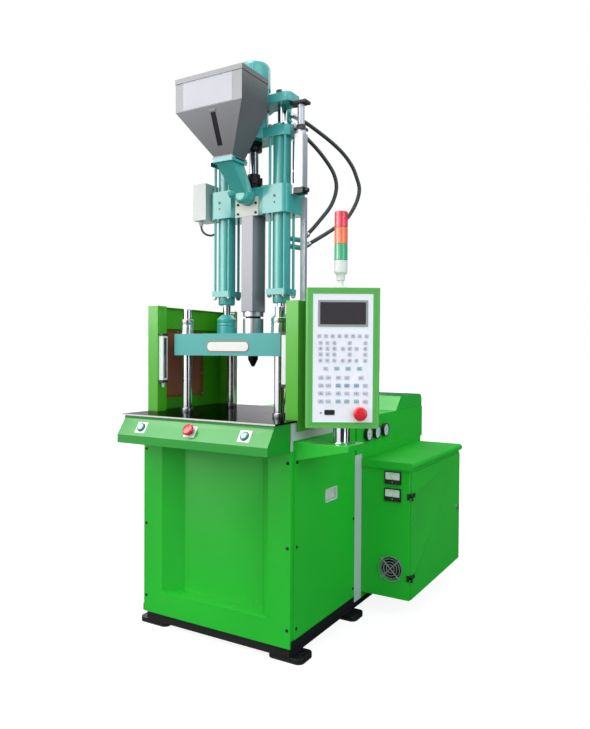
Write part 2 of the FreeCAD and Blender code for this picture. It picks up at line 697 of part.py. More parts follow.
# ---- guards ----
def guards():
    """A post and a windowed side wall of folded sheet on each side, with a stepped rear return."""
    wall = block(TABLE_HALF, TABLE_HALF + SHEET, GUARD_FRONT, SIDE_REAR, GUARD_SKIRT, GUARD_TOP)
    window = block(TABLE_HALF - 1, TABLE_HALF + SHEET + 1, WINDOW_FRONT, WINDOW_REAR, WINDOW_BOTTOM, WINDOW_TOP)
    inner_x = TABLE_HALF + SHEET - GUARD_POST_X
    post_rear = GUARD_FRONT + GUARD_POST_Y
    post = block(inner_x, TABLE_HALF, GUARD_FRONT, post_rear, BED_TOP, GUARD_TOP)
    hollow = block(inner_x + SHEET, TABLE_HALF, GUARD_FRONT + SHEET, post_rear - SHEET, BED_TOP - 1, GUARD_TOP - SHEET)
    top = block(TABLE_HALF - GUARD_FOLD, TABLE_HALF, post_rear, SIDE_REAR, GUARD_TOP - SHEET, GUARD_TOP)
    fold = block(TABLE_HALF - GUARD_FOLD, TABLE_HALF, post_rear, SIDE_REAR, GUARD_FOLD_Z, GUARD_FOLD_Z + SHEET)
    low = SIDE_REAR - GUARD_STEP
    back = folded([(TABLE_HALF, SIDE_REAR - SHEET), (GUARD_STEP_X, SIDE_REAR - SHEET), (GUARD_STEP_X, low),
                   (GUARD_RETURN_X, low), (GUARD_RETURN_X, low - GUARD_STEP)], -SHEET, BED_TOP, GUARD_TOP)
    return both_sides(fused([wall.cut(window), post.cut(hollow), top, fold, back]))


def guard_windows():
    """A tinted pane fixed to the inside of each wall."""
    pane = block(TABLE_HALF - WINDOW_THICK, TABLE_HALF, WINDOW_FRONT - WINDOW_LAP, WINDOW_REAR + WINDOW_LAP,
                 WINDOW_BOTTOM - WINDOW_LAP, WINDOW_TOP + WINDOW_LAP)
    return both_sides(pane)


def light_curtains():
    """A light-curtain bar with end caps and a cable gland on the inner face of each post."""
    right = TABLE_HALF + SHEET - GUARD_POST_X
    left = right - CURTAIN_X
    y0 = GUARD_FRONT + 6
    body = block(left, right, y0, y0 + CURTAIN_Y, CURTAIN_BOTTOM, CURTAIN_TOP)
    caps = [block(left - 1, right, y0 - 1, y0 + CURTAIN_Y + 1, z, z + CURTAIN_CAP)
            for z in (CURTAIN_BOTTOM - CURTAIN_CAP, CURTAIN_TOP)]
    gland_top = CURTAIN_BOTTOM - CURTAIN_CAP
    mid = (left + right) / 2
    gland = turned([(0, gland_top), (6, gland_top), (6, gland_top - 10), (3.5, gland_top - CURTAIN_GLAND),
                    (0, gland_top - CURTAIN_GLAND)], mid, y0 + CURTAIN_Y / 2)
    return both_sides(fused([body, gland] + caps))


# ---- clamp unit ----
def clamp_cylinder():
    """The hydraulic cylinder bolted under the bed, bored for its piston and rod."""
    top = BED_BOTTOM
    flange = rounded_block(-CLAMP_R - 12, CLAMP_R + 12, -CLAMP_R - 12, CLAMP_R + 12, top - CLAMP_CAP, top, 12)
    body = fused([rod(CLAMP_R, CLAMP_BOTTOM, top), flange])
    body = body.cut(rod(CLAMP_BORE_R, CLAMP_BOTTOM + CLAMP_GLAND, top - CLAMP_CAP))
    return body.cut(rod(CLAMP_ROD_R + FIT_GAP, CLAMP_BOTTOM - 1, CLAMP_BOTTOM + CLAMP_GLAND + 1))


def lower_crosshead():
    """The plate that joins the tie bars under the bed, with the clamp piston and its rod."""
    z0, z1 = CROSSHEAD_BOTTOM, CROSSHEAD_TOP
    cut = 60
    x, y = CROSSHEAD_HALF_X, CROSSHEAD_HALF_Y
    outline = [(-x, -y), (-x + cut * 1.2, -y), (-cut * 2, -y + cut), (cut * 2, -y + cut), (x - cut * 1.2, -y), (x, -y)]
    outline += [(-a, -b) for a, b in outline]
    shape = plate(outline, z0, z1)
    for px, py in tie_points():
        shape = shape.cut(rod(TIE_END_R + HOLE_GAP, z0 - 1, z1 + 1, px, py))
    piston_top = BED_BOTTOM - CLAMP_CAP - 1
    ram = turned([(0, z1), (CLAMP_ROD_R, z1), (CLAMP_ROD_R, piston_top - CLAMP_PISTON),
                  (CLAMP_BORE_R - FIT_GAP, piston_top - CLAMP_PISTON), (CLAMP_BORE_R - FIT_GAP, piston_top),
                  (0, piston_top)])
    return fused([shape, ram])


def tie_bars():
    """Four chromed bars with a turned-down thread at each end."""
    low = CROSSHEAD_BOTTOM - WASHER - NUT_HEIGHT - 6
    profile = [(0, low), (TIE_END_R, low), (TIE_END_R, CROSSHEAD_TOP), (TIE_R, CROSSHEAD_TOP),
               (TIE_R, PLATEN_BOTTOM), (TIE_END_R, PLATEN_BOTTOM), (TIE_END_R, TIE_TOP - 2),
               (TIE_END_R - 2, TIE_TOP), (0, TIE_TOP)]
    return Part.makeCompound([turned(profile, x, y) for x, y in tie_points()])


def tie_bar_nuts():
    """Round nuts and lock nuts over the platen, and round nuts under the lower crosshead."""
    r = TIE_END_R
    z = PLATEN_TOP
    seam = z + WASHER + NUT_HEIGHT
    upper = [(r, z), (WASHER_R, z), (WASHER_R, z + WASHER), (NUT_R, z + WASHER), (NUT_R, seam - 1),
             (NUT_R - 1.5, seam), (NUT_R, seam + 1), (NUT_R, TIE_NUT_TOP - 2), (NUT_R - 2, TIE_NUT_TOP),
             (r, TIE_NUT_TOP)]
    base = CROSSHEAD_BOTTOM
    lower = [(r, base), (WASHER_R, base), (WASHER_R, base - WASHER), (NUT_R, base - WASHER),
             (NUT_R, base - WASHER - NUT_HEIGHT), (r, base - WASHER - NUT_HEIGHT)]
    return Part.makeCompound([turned(p, x, y) for x, y in tie_points() for p in (upper, lower)])


def platen():
    """The moving platen: a thick plate bored for the tie bars, the barrel and the mould bolts."""
    shape = block(-PLATEN_HALF_X, PLATEN_HALF_X, -PLATEN_HALF_Y, PLATEN_HALF_Y, PLATEN_BOTTOM, PLATEN_TOP)
    shape = shape.makeChamfer(PLATEN_CHAMFER, upright_edges(shape, PLATEN_BOTTOM, PLATEN_TOP))
    for x, y in tie_points():
        shape = shape.cut(rod(TIE_END_R + HOLE_GAP, PLATEN_BOTTOM - 1, PLATEN_TOP + 1, x, y))
    shape = shape.cut(rod(PLATEN_HOLE_R, PLATEN_BOTTOM - 1, PLATEN_TOP + 1))
    return shape.cut(mould_bolt_holes(PLATEN_BOTTOM - 1, PLATEN_BOTTOM + MOULD_BOLT_DEPTH))


def carriage_rods():
    """Two chromed rods fixed in the platen, each with the piston of a carriage cylinder."""
    top = BLOCK_BOTTOM - 12
    profile = [(0, PLATEN_TOP), (ROD_R, PLATEN_TOP), (ROD_R, top - PISTON), (BORE_R - FIT_GAP, top - PISTON),
               (BORE_R - FIT_GAP, top), (0, top)]
    return both_sides(turned(profile, CYL_X))


def rod_caps():
    """Ringed caps with a conical top that clamp the carriage rods on the platen."""
    z, r = PLATEN_TOP, ROD_R + HOLE_GAP
    top = z + CAP_HEIGHT
    groove = 2.0
    profile = [(r, z), (CAP_R, z), (CAP_R, z + 30), (CAP_R - groove, z + 31), (CAP_R - groove, z + 34),
               (CAP_R, z + 35), (CAP_R, z + 42), (CAP_R - groove, z + 43), (CAP_R - groove, z + 46),
               (CAP_R, z + 47), (CAP_R, top), (r + 4, top + CAP_CONE), (r, top + CAP_CONE)]
    return both_sides(turned(profile, CYL_X))


# ---- injection unit ----
def cylinder_ties(z0, z1):
    spots = [(CYL_X + sx * TIE_ROD_AT, sy * TIE_ROD_AT) for sx in SIDES for sy in SIDES]
    return [rod(TIE_ROD_R, z0, z1, x, y) for x, y in spots]


def carriage_cylinders():
    """Two tie-rod cylinders that hang from the cross block and run on the carriage rods."""
    neck = turned([(ROD_R + FIT_GAP, LOW_NECK_Z), (LOW_NECK_R - 3, LOW_NECK_Z), (LOW_NECK_R, LOW_NECK_Z + 3),
                   (LOW_NECK_R, LOW_CAP_Z), (ROD_R + FIT_GAP, LOW_CAP_Z)], CYL_X)
    half = LOW_CAP_HALF
    cap_top = LOW_CAP_Z + LOW_CAP
    cap = rounded_block(CYL_X - half, CYL_X + half, -half, half, LOW_CAP_Z, cap_top, 6)
    cap = cap.cut(rod(ROD_R + FIT_GAP, LOW_CAP_Z - 1, cap_top + 1, CYL_X))
    barrel_tube = pipe(TUBE_R, BORE_R, cap_top, BLOCK_BOTTOM, CYL_X)
    side = fused([neck, cap, barrel_tube] + cylinder_ties(cap_top - 6, BLOCK_BOTTOM))
    return Part.makeCompound([mirrored(side), fused([side] + hose_ports())])


def elbow(end, before, root):
    """A hose fitting: on from the hose's end to a corner, then to its root."""
    end, before = V(*end), V(*before)
    corner = end + (end - before).normalize() * ELBOW
    r = HOSE_R + 2
    root = V(root[0], root[1], corner.z)
    return [bar(r, end, corner), Part.makeSphere(r, corner), bar(r, corner, root)]


def hose_ports():
    """Two hose fittings on the back of the right-hand carriage cylinder."""
    root = (CYL_X + 5, BORE_R + 1)
    return elbow(HOSE_UPPER[-1], HOSE_UPPER[-2], root) + elbow(HOSE_LOWER[-1], HOSE_LOWER[-2], root)


def cross_block():
    """The casting that ties the four cylinders to the barrel."""
    x, r = BLOCK_HALF, BLOCK_RECESS_HALF
    outline = [(-x, BLOCK_FRONT), (-r, BLOCK_FRONT), (-r + 10, BLOCK_RECESS_Y), (r - 10, BLOCK_RECESS_Y),
               (r, BLOCK_FRONT), (x, BLOCK_FRONT), (x, BLOCK_REAR), (-x, BLOCK_REAR)]
    shape = plate(outline, BLOCK_BOTTOM, BLOCK_TOP)
    corners = [e for e in upright_edges(shape, BLOCK_BOTTOM, BLOCK_TOP)
               if abs(e.BoundBox.XMin) > x - 1 and e.BoundBox.YMin < 0]
    shape = shape.makeFillet(BLOCK_CORNER, corners)
    shape = shape.cut(rod(BARREL_R, BLOCK_BOTTOM - 1, BLOCK_TOP + 1))
    feed = bar(FEED_R, V(0, BLOCK_RECESS_Y - 1, DOME_Z), V(0, 0, DOME_Z))
    return shape.cut(feed)


def injection_cylinders():
    """Two tie-rod cylinders on the cross block, joined at the top by one head plate."""
    hub = DRIVE_R + 11
    tubes = []
    for side in SIDES:
        low = BLOCK_TOP + 14
        tube = fused([pipe(TUBE_R, BORE_R, BLOCK_TOP, HEAD_BOTTOM, CYL_X), rod(TUBE_R, BLOCK_TOP, low, CYL_X)]
                     + cylinder_ties(BLOCK_TOP, HEAD_BOTTOM))
        tubes.append(tube if side > 0 else mirrored(tube))
    x, y = HEAD_HALF_X, HEAD_HALF_Y
    half = [(hub * 0.5, -hub), (hub, -y), (x - 14, -y), (x, -y + 14), (x, y - 14), (x - 14, y), (hub, y), (hub * 0.5, hub)]
    head = plate(half + [(-a, b) for a, b in half[::-1]], HEAD_BOTTOM, HEAD_TOP)
    rings = [rod(HEAD_RING_R, HEAD_TOP, HEAD_RING_TOP, side * CYL_X) for side in SIDES]
    shape = fused(tubes + [head] + rings)
    shape = shape.cut(rod(DRIVE_R + SLIDE_GAP, HEAD_BOTTOM - 1, HEAD_TOP + 1))
    for side in SIDES:
        shape = shape.cut(rod(INJECT_ROD_R + FIT_GAP, HEAD_BOTTOM - 1, HEAD_RING_TOP + 1, side * CYL_X))
    return shape


def barrel():
    """The heated barrel with its bolted top flange and collar, bored for the screw."""
    profile = [(0, BARREL_BOTTOM), (BARREL_R, BARREL_BOTTOM), (BARREL_R, FLANGE_BOTTOM), (FLANGE_R, FLANGE_BOTTOM),
               (FLANGE_R, FLANGE_TOP), (COLLAR_R, FLANGE_TOP), (COLLAR_R, COLLAR_TOP), (0, COLLAR_TOP)]
    shape = turned(profile)
    shape = shape.cut(rod(SCREW_R + FIT_GAP, BARREL_BOTTOM - 1, COLLAR_TOP))
    shape = shape.cut(rod(SHANK_R + FIT_GAP, COLLAR_TOP - INJECT_STROKE - 30, COLLAR_TOP + 1))
    feed = bar(FEED_R, V(0, -BARREL_R - 1, DOME_Z), V(0, 0, DOME_Z))
    bolts = []
    for i in range(FLANGE_BOLTS):
        a = math.radians(360 / FLANGE_BOLTS * i + 30)
        reach = (FLANGE_R + COLLAR_R) / 2
        bolts.append(rod(3.6, FLANGE_TOP - 1, FLANGE_TOP + 6, reach * math.cos(a), reach * math.sin(a)))
    return fused([shape.cut(feed)] + bolts)


def nozzle():
    """The nozzle: a hexagon for the spanner and a cone that ends in a ball tip."""
    seat = BARREL_BOTTOM
    cone = turned([(2, NOZZLE_TIP), (6, NOZZLE_TIP + 2), (NOZZLE_R, NOZZLE_TIP + 28), (NOZZLE_R, seat - 34),
                   (BARREL_R - 2, seat - 30), (BARREL_R - 2, seat), (2, seat)])
    return cone.common(fused([hexagon(NOZZLE_HEX, NOZZLE_TIP - 1, seat - 8), rod(BARREL_R, seat - 8, seat)]))


def band_heaters():
    """Band heaters round the barrel; the two lowest show under the cover."""
    return Part.makeCompound([pipe(HEATER_R, BARREL_R, z0, z1) for z0, z1 in HEATERS])


def heater_cover():
    """The six-sided sheet-metal cover that hangs under the cross block."""
    outer = hexagon(COVER_FLATS, COVER_BOTTOM, BLOCK_BOTTOM)
    return outer.cut(hexagon(COVER_FLATS - 2 * COVER_SHEET, COVER_BOTTOM - 1, BLOCK_BOTTOM + 1))


def feed_chute():
    """The casting that leads the pellets from the gate into the front of the cross block."""
    z1 = OUTLET_Z - HOPPER_FOOT
    half = CHUTE_FLANGE_HALF
    y = DOME_FRONT + DOME_R
    shift = (OUTLET_X, OUTLET_Y - y)
    flange = rounded_block(OUTLET_X - half, OUTLET_X + half, OUTLET_Y - half, OUTLET_Y + half, z1 - CHUTE_FLANGE, z1, 5)
    rail_low = GATE_HALF_Y + SLIDE_GAP
    rails = [block(OUTLET_X - half, OUTLET_X + half, OUTLET_Y + a, OUTLET_Y + b, z1, OUTLET_Z)
             for a, b in ((-half, -rail_low), (rail_low, half))]
    neck = frustum(0, y, DOME_R - 4, OUTLET_HALF, DOME_Z, z1 - CHUTE_FLANGE, shift)
    dome = bar(DOME_R, V(0, DOME_FRONT, DOME_Z), V(0, BLOCK_RECESS_Y, DOME_Z))
    edge = [e for e in dome.Edges if e.BoundBox.YMax < DOME_FRONT + 0.01]
    dome = dome.makeFillet(DOME_R * 0.5, edge)
    spout = bar(SPOUT_R, V(-8, DOME_FRONT + 20, DOME_Z + 20), V(-46, DOME_FRONT - 8, DOME_Z + 2))
    hollow = frustum(0, y, DOME_R - 4 - CHUTE_WALL, OUTLET_HALF - CHUTE_WALL, DOME_Z, z1 - CHUTE_FLANGE, shift)
    wide = OUTLET_HALF - CHUTE_WALL
    mouth = block(OUTLET_X - wide, OUTLET_X + wide, OUTLET_Y - wide, OUTLET_Y + wide, z1 - CHUTE_FLANGE - 1, z1 + 1)
    feed = bar(FEED_R, V(0, y, DOME_Z), V(0, BLOCK_RECESS_Y + 1, DOME_Z))
    return fused([flange, neck, dome, spout] + rails).cut(fused([hollow, mouth, feed]))


def slide_gate():
    """The shut-off blade between the hopper and the chute, with a folded finger tab."""
    z0 = OUTLET_Z - HOPPER_FOOT + SLIDE_GAP
    z1 = OUTLET_Z - SLIDE_GAP
    left = OUTLET_X - CHUTE_FLANGE_HALF - GATE_TAB
    blade = block(left, OUTLET_X + OUTLET_HALF, OUTLET_Y - GATE_HALF_Y, OUTLET_Y + GATE_HALF_Y, z0, z1)
    tab = block(left, left + 3, OUTLET_Y - GATE_HALF_Y, OUTLET_Y + GATE_HALF_Y, z0 - 14, z1)
    return fused([blade, tab])


def hopper():
    """The sheet-metal hopper: a box on a skewed pyramid, with a foot flange and hinge ears."""
    def shell(inset):
        x0, x1 = HOPPER_LEFT + inset, HOPPER_RIGHT - inset
        y0, y1 = HOPPER_FRONT + inset, HOPPER_REAR - inset
        half = OUTLET_HALF - inset
        rings = []
        for z, xa, xb, ya, yb in ((OUTLET_Z - 0.01 * inset, OUTLET_X - half, OUTLET_X + half, OUTLET_Y - half, OUTLET_Y + half),
                                  (HOPPER_BREAK_Z, x0, x1, y0, y1)):
            rings.append(Part.makePolygon([V(xa, ya, z), V(xb, ya, z), V(xb, yb, z), V(xa, yb, z), V(xa, ya, z)]))
        return Part.makeLoft(rings, True, True).fuse(block(x0, x1, y0, y1, HOPPER_BREAK_Z, HOPPER_TOP + inset))

    foot = rounded_block(OUTLET_X - HOPPER_FOOT_HALF, OUTLET_X + HOPPER_FOOT_HALF, OUTLET_Y - HOPPER_FOOT_HALF,
                         OUTLET_Y + HOPPER_FOOT_HALF, OUTLET_Z, OUTLET_Z + HOPPER_FOOT, 5)
    shape = fused([shell(0.0), foot]).cut(shell(HOPPER_SHEET))
    half = OUTLET_HALF - HOPPER_SHEET
    shape = shape.cut(block(OUTLET_X - half, OUTLET_X + half, OUTLET_Y - half, OUTLET_Y + half, OUTLET_Z - 1, OUTLET_Z + 1))
    shape = shape.cut(sight_slot())
    ears = []
    for y in (HOPPER_FRONT + EAR_INSET, HOPPER_REAR - EAR_INSET - EAR):
        ears.append(block(LID_AXIS_X - LID_ROLL_R, HOPPER_LEFT, y, y + EAR, LID_AXIS_Z - 14, LID_AXIS_Z - SLIDE_GAP))
        ears.append(bar(LID_ROLL_R, V(LID_AXIS_X, y, LID_AXIS_Z), V(LID_AXIS_X, y + EAR, LID_AXIS_Z)))
    pin = bar(LID_PIN_R, V(LID_AXIS_X, HOPPER_FRONT + EAR_INSET, LID_AXIS_Z),
              V(LID_AXIS_X, HOPPER_REAR - EAR_INSET, LID_AXIS_Z))
    return fused([shape, pin] + ears)


def sight_slot():
    """A long slot through the sloping front, for the sight glass."""
    x = OUTLET_X + (HOPPER_LEFT + HOPPER_RIGHT - 2 * OUTLET_X) * 0.1
    return block(x - SIGHT_WIDTH / 2, x + SIGHT_WIDTH / 2, HOPPER_FRONT - 1, OUTLET_Y - 8, SIGHT_BOTTOM, SIGHT_TOP)


def hopper_lid():
    """The hinged lid: a flat sheet with a rim on three sides and a roll round the hinge pin."""
    x1 = HOPPER_RIGHT + SLIDE_GAP
    y0, y1 = HOPPER_FRONT - SLIDE_GAP, HOPPER_REAR + SLIDE_GAP
    z0 = HOPPER_TOP + SLIDE_GAP
    z1 = z0 + LID_SHEET
    x0 = LID_AXIS_X + LID_ROLL_R - 1
    top = block(x0, x1 + LID_SHEET, y0 - LID_SHEET, y1 + LID_SHEET, z0, z1)
    rims = [block(x0, x1 + LID_SHEET, y0 - LID_SHEET, y0, z0 - LID_RIM, z0),
            block(x0, x1 + LID_SHEET, y1, y1 + LID_SHEET, z0 - LID_RIM, z0),
            block(x1, x1 + LID_SHEET, y0, y1, z0 - LID_RIM, z0)]
    ya, yb = HOPPER_FRONT + EAR_INSET + EAR + SLIDE_GAP, HOPPER_REAR - EAR_INSET - EAR - SLIDE_GAP
    roll = bar(LID_ROLL_R, V(LID_AXIS_X, ya, LID_AXIS_Z), V(LID_AXIS_X, yb, LID_AXIS_Z))
    leaf = block(LID_AXIS_X, x0 + 1, ya, yb, z0, z0 + LID_SHEET)
    shape = fused([top, roll, leaf] + rims)
    for y in (HOPPER_FRONT + EAR_INSET, HOPPER_REAR - EAR_INSET - EAR):
        shape = shape.cut(block(x0 - 1, LID_AXIS_X + LID_ROLL_R + 2, y - SLIDE_GAP, y + EAR + SLIDE_GAP, z0 - 1, z1 + 1))
    return shape.cut(bar(LID_PIN_R + FIT_GAP, V(LID_AXIS_X, ya - 1, LID_AXIS_Z), V(LID_AXIS_X, yb + 1, LID_AXIS_Z)))


def junction_box():
    """The terminal box on the left end of the cross block, with its cable gland underneath."""
    body = block(BOX_LEFT, -BLOCK_HALF, BOX_FRONT, BOX_REAR, BOX_BOTTOM, BOX_TOP)
    inside = block(BOX_LEFT + SHEET, -BLOCK_HALF - SHEET, BOX_FRONT + SHEET, BOX_REAR - SHEET, BOX_BOTTOM + SHEET, BOX_TOP - SHEET)
    x, y = BOX_LEFT + 22, BOX_FRONT + 22
    gland = turned([(0, BOX_BOTTOM), (9, BOX_BOTTOM), (9, BOX_BOTTOM - 9), (6, BOX_BOTTOM - 18), (0, BOX_BOTTOM - 18)], x, y)
    return fused([body.cut(inside), gland])


def transducers():
    """The screw-stroke transducer with its end caps, and the carriage-stroke scale."""
    x0, x1 = SENSOR_X - SENSOR_HALF, SENSOR_X + SENSOR_HALF
    body = rounded_block(x0, x1, -SENSOR_HALF, SENSOR_HALF, SENSOR_BOTTOM, SENSOR_TOP, 4)
    low = rounded_block(x0, x1, -SENSOR_HALF, SENSOR_HALF, SENSOR_BOTTOM - SENSOR_FOOT, SENSOR_BOTTOM, 4)
    high = turned([(0, SENSOR_TOP), (SENSOR_HALF, SENSOR_TOP), (SENSOR_HALF, SENSOR_TOP + SENSOR_CAP - 4),
                   (SENSOR_HALF - 4, SENSOR_TOP + SENSOR_CAP), (0, SENSOR_TOP + SENSOR_CAP)], SENSOR_X)
    foot = block(BLOCK_HALF, x0 + 1, -SENSOR_HALF, SENSOR_HALF, SENSOR_BOTTOM - SENSOR_FOOT, BLOCK_TOP)
    bore_bottom = SLEEVE_BOTTOM - INJECT_STROKE - 10
    shape = fused([body, low, high, foot]).cut(rod(SLEEVE_R + SLIDE_GAP, bore_bottom, SENSOR_TOP + SENSOR_CAP + 1, SENSOR_X))
    y0 = SCALE_AT_Y - SCALE_Y / 2
    scale = block(BLOCK_HALF, BLOCK_HALF + SCALE_X, y0, y0 + SCALE_Y, SCALE_BOTTOM, SCALE_TOP)
    return Part.makeCompound([shape, scale])


def crosshead():
    """The plate on the injection rods that carries the drive."""
    x, y, hub = TOP_PLATE_HALF_X, TOP_PLATE_HALF_Y, TOP_PLATE_HUB_R
    half = [(hub * 0.5, -hub), (hub, -y), (x - 12, -y), (x, -y + 12), (x, y - 12), (x - 12, y), (hub, y), (hub * 0.5, hub)]
    shape = plate(half + [(-a, b) for a, b in half[::-1]], TOP_PLATE_BOTTOM, TOP_PLATE_TOP)
    shape = shape.cut(rod(DRIVE_R + HOLE_GAP, TOP_PLATE_BOTTOM - 1, TOP_PLATE_TOP + 1))
    for side in SIDES:
        shape = shape.cut(rod(INJECT_ROD_R - 3 + HOLE_GAP, TOP_PLATE_BOTTOM - 1, TOP_PLATE_TOP + 1, side * CYL_X))
    return shape


def injection_rods():
    """Two chromed rods with their pistons, and the nuts that hold the crosshead."""
    piston_top = HEAD_BOTTOM - 2
    end = TOP_PLATE_TOP + ROD_NUT_HEIGHT + 4
    r = INJECT_ROD_R
    profile = [(0, piston_top - PISTON), (BORE_R - FIT_GAP, piston_top - PISTON), (BORE_R - FIT_GAP, piston_top),
               (r, piston_top), (r, TOP_PLATE_BOTTOM), (r - 3, TOP_PLATE_BOTTOM), (r - 3, end), (0, end)]
    shape = fused([turned(profile, CYL_X), hexagon(ROD_NUT, TOP_PLATE_TOP, TOP_PLATE_TOP + ROD_NUT_HEIGHT, CYL_X)])
    return both_sides(shape)


def drive_motor():
    """The thrust-bearing housing and the hydraulic motor on top of it, with the hose manifold."""
    top = MOTOR_TOP
    neck = DRIVE_R - 4
    profile = [(0, DRIVE_BOTTOM), (DRIVE_R, DRIVE_BOTTOM), (DRIVE_R, TOP_PLATE_TOP), (MOTOR_R, TOP_PLATE_TOP),
               (MOTOR_R, TOP_PLATE_TOP + 22), (neck, TOP_PLATE_TOP + 26), (neck, TOP_PLATE_TOP + 40),
               (MOTOR_R, TOP_PLATE_TOP + 44), (MOTOR_R, top - MOTOR_ROUND), (MOTOR_R - MOTOR_ROUND * 0.3, top - MOTOR_ROUND * 0.3),
               (MOTOR_R - MOTOR_ROUND, top), (0, top)]
    body = turned(profile)
    lugs = []
    for i in range(6):
        a = math.radians(60 * i)
        lugs.append(rod(7, TOP_PLATE_TOP + 12, top - MOTOR_ROUND - 6, (MOTOR_R - 6) * math.cos(a), (MOTOR_R - 6) * math.sin(a)))
    y0 = TOP_PLATE_HALF_Y
    manifold = block(PORT_LEFT, PORT_RIGHT, y0, y0 + PORT_DEPTH, PORT_BOTTOM, PORT_TOP)
    bridge = block(MOTOR_R * 0.7, PORT_RIGHT, y0 - 16, y0 + PORT_DEPTH, TOP_PLATE_TOP, PORT_TOP)
    shape = fused([body, manifold, bridge] + lugs + motor_ports())
    return shape.cut(rod(DRIVE_SHAFT_R + FIT_GAP, DRIVE_BOTTOM - 1, DRIVE_BOTTOM + DRIVE_SHAFT + 1))


def motor_ports():
    """The two fittings on the manifold that the hoses leave."""
    ports = []
    for points in (HOSE_UPPER, HOSE_LOWER):
        start, following = V(*points[0]), V(*points[1])
        ports.append(bar(HOSE_R + 2, start, start - (following - start).normalize() * PORT_DEPTH * 0.8))
    return ports


def transducer_rod():
    """The bracket under the crosshead's end and the sleeve that it pushes into the transducer."""
    z1 = TOP_PLATE_BOTTOM
    bracket = block(CYL_X + HEAD_RING_R + 5, SENSOR_X + SENSOR_HALF + 10, -20, 20, z1 - 10, z1)
    return fused([bracket, rod(SLEEVE_R, SLEEVE_BOTTOM, z1 - 10, SENSOR_X)])


def screw():
    """The plasticising screw: shank, root and pointed tip, without its flight."""
    shank_low = COLLAR_TOP - 20
    tip = BARREL_BOTTOM + INJECT_STROKE + 10
    profile = [(0, tip), (SCREW_ROOT_R - 3, tip + 10), (SCREW_ROOT_R, tip + 24), (SCREW_ROOT_R, shank_low - 8),
               (SCREW_R, shank_low - 6), (SCREW_R, shank_low), (SHANK_R, shank_low), (SHANK_R, COUPLING_BOTTOM + 4),
               (DRIVE_SHAFT_R, COUPLING_BOTTOM + 6), (DRIVE_SHAFT_R, DRIVE_BOTTOM + DRIVE_SHAFT), (0, DRIVE_BOTTOM + DRIVE_SHAFT)]
    return turned(profile)


def coupling():
    """The split clamp coupling between the drive shaft and the screw's shank."""
    top = DRIVE_BOTTOM - SLIDE_GAP
    z = COUPLING_BOTTOM
    outer = [(0, z), (COUPLING_R - 2, z), (COUPLING_R, z + 2), (COUPLING_R, z + 14), (COUPLING_R - 5, z + 15),
             (COUPLING_R - 5, z + 20), (COUPLING_R, z + 21), (COUPLING_R, top), (0, top)]
    return turned(outer).cut(screw_end(top))


def screw_end(top):
    """The part of the screw that the coupling grips."""
    z = COUPLING_BOTTOM
    return turned([(0, z - 1), (SHANK_R, z - 1), (SHANK_R, z + 4), (DRIVE_SHAFT_R, z + 6), (DRIVE_SHAFT_R, top + 1), (0, top + 1)])


# ---- hoses ----
def hose(points):
    """A hose along straight runs joined by tangent arcs."""
    points = [V(*p) for p in points]
    edges = []
    at = points[0]
    for before, corner, after in zip(points, points[1:], points[2:]):
        a, b = corner - before, after - corner
        shorter = min(a.Length, b.Length)
        half_turn = a.getAngle(b) / 2
        reach = 0.45 * shorter
        start = corner - a * (reach / a.Length)
        end = corner + b * (reach / b.Length)
        radius = reach / math.tan(half_turn)
        inward = (b * (1 / b.Length) - a * (1 / a.Length)).normalize()
        middle = corner + inward * (radius / math.cos(half_turn) - radius)
        if (start - at).Length > 0.01:
            edges.append(Part.LineSegment(at, start).toShape())
        edges.append(Part.Arc(start, middle, end).toShape())
        at = end
        hose_radii.append(round(radius))
    edges.append(Part.LineSegment(at, points[-1]).toShape())
    path = Part.Wire(edges)
    first = points[1] - points[0]
    section = Part.Wire([Part.Circle(points[0], first, HOSE_R).toShape()])
    tube = path.makePipeShell([section], True, False)
    print("hose length", round(path.Length), "volume / (section x length)",
          round(tube.Volume / (math.pi * HOSE_R ** 2 * path.Length), 4), "radii", hose_radii)
    hose_radii.clear()
    return tube


hose_radii = []


# ---- rear unit ----
def oil_tank():
    """The welded oil tank under the rear box."""
    outer = block(-TANK_HALF, TANK_HALF, TANK_FRONT, TANK_REAR, RAIL_TOP, TANK_TOP)
    w = TANK_WALL
    inside = block(-TANK_HALF + w, TANK_HALF - w, TANK_FRONT + w, TANK_REAR - w, RAIL_TOP + w, TANK_TOP - w)
    return outer.cut(inside)


def pump_motor():
    """The electric motor on the tank, with its flanged pump at the front."""
    flange_y = COVER_FRONT + PUMP_MOTOR_BACK
    y0, y1 = flange_y + PUMP_FLANGE, COVER_REAR - PUMP_MOTOR_GAP
    z, r = PUMP_MOTOR_Z, PUMP_MOTOR_R
    body = bar(r, V(0, y0, z), V(0, y1, z))
    flange = bar(r + 8, V(0, flange_y, z), V(0, y0, z))
    pump = bar(PUMP_R, V(0, flange_y - PUMP_LENGTH, z), V(0, flange_y, z))
    foot = block(-r, r, y0 + 20, y1 - 20, TANK_TOP, z - r * 0.6)
    terminals = block(r * 0.5, r + 30, y0 + 40, y0 + 120, z - 30, z + 40)
    return fused([body, flange, pump, foot, terminals])


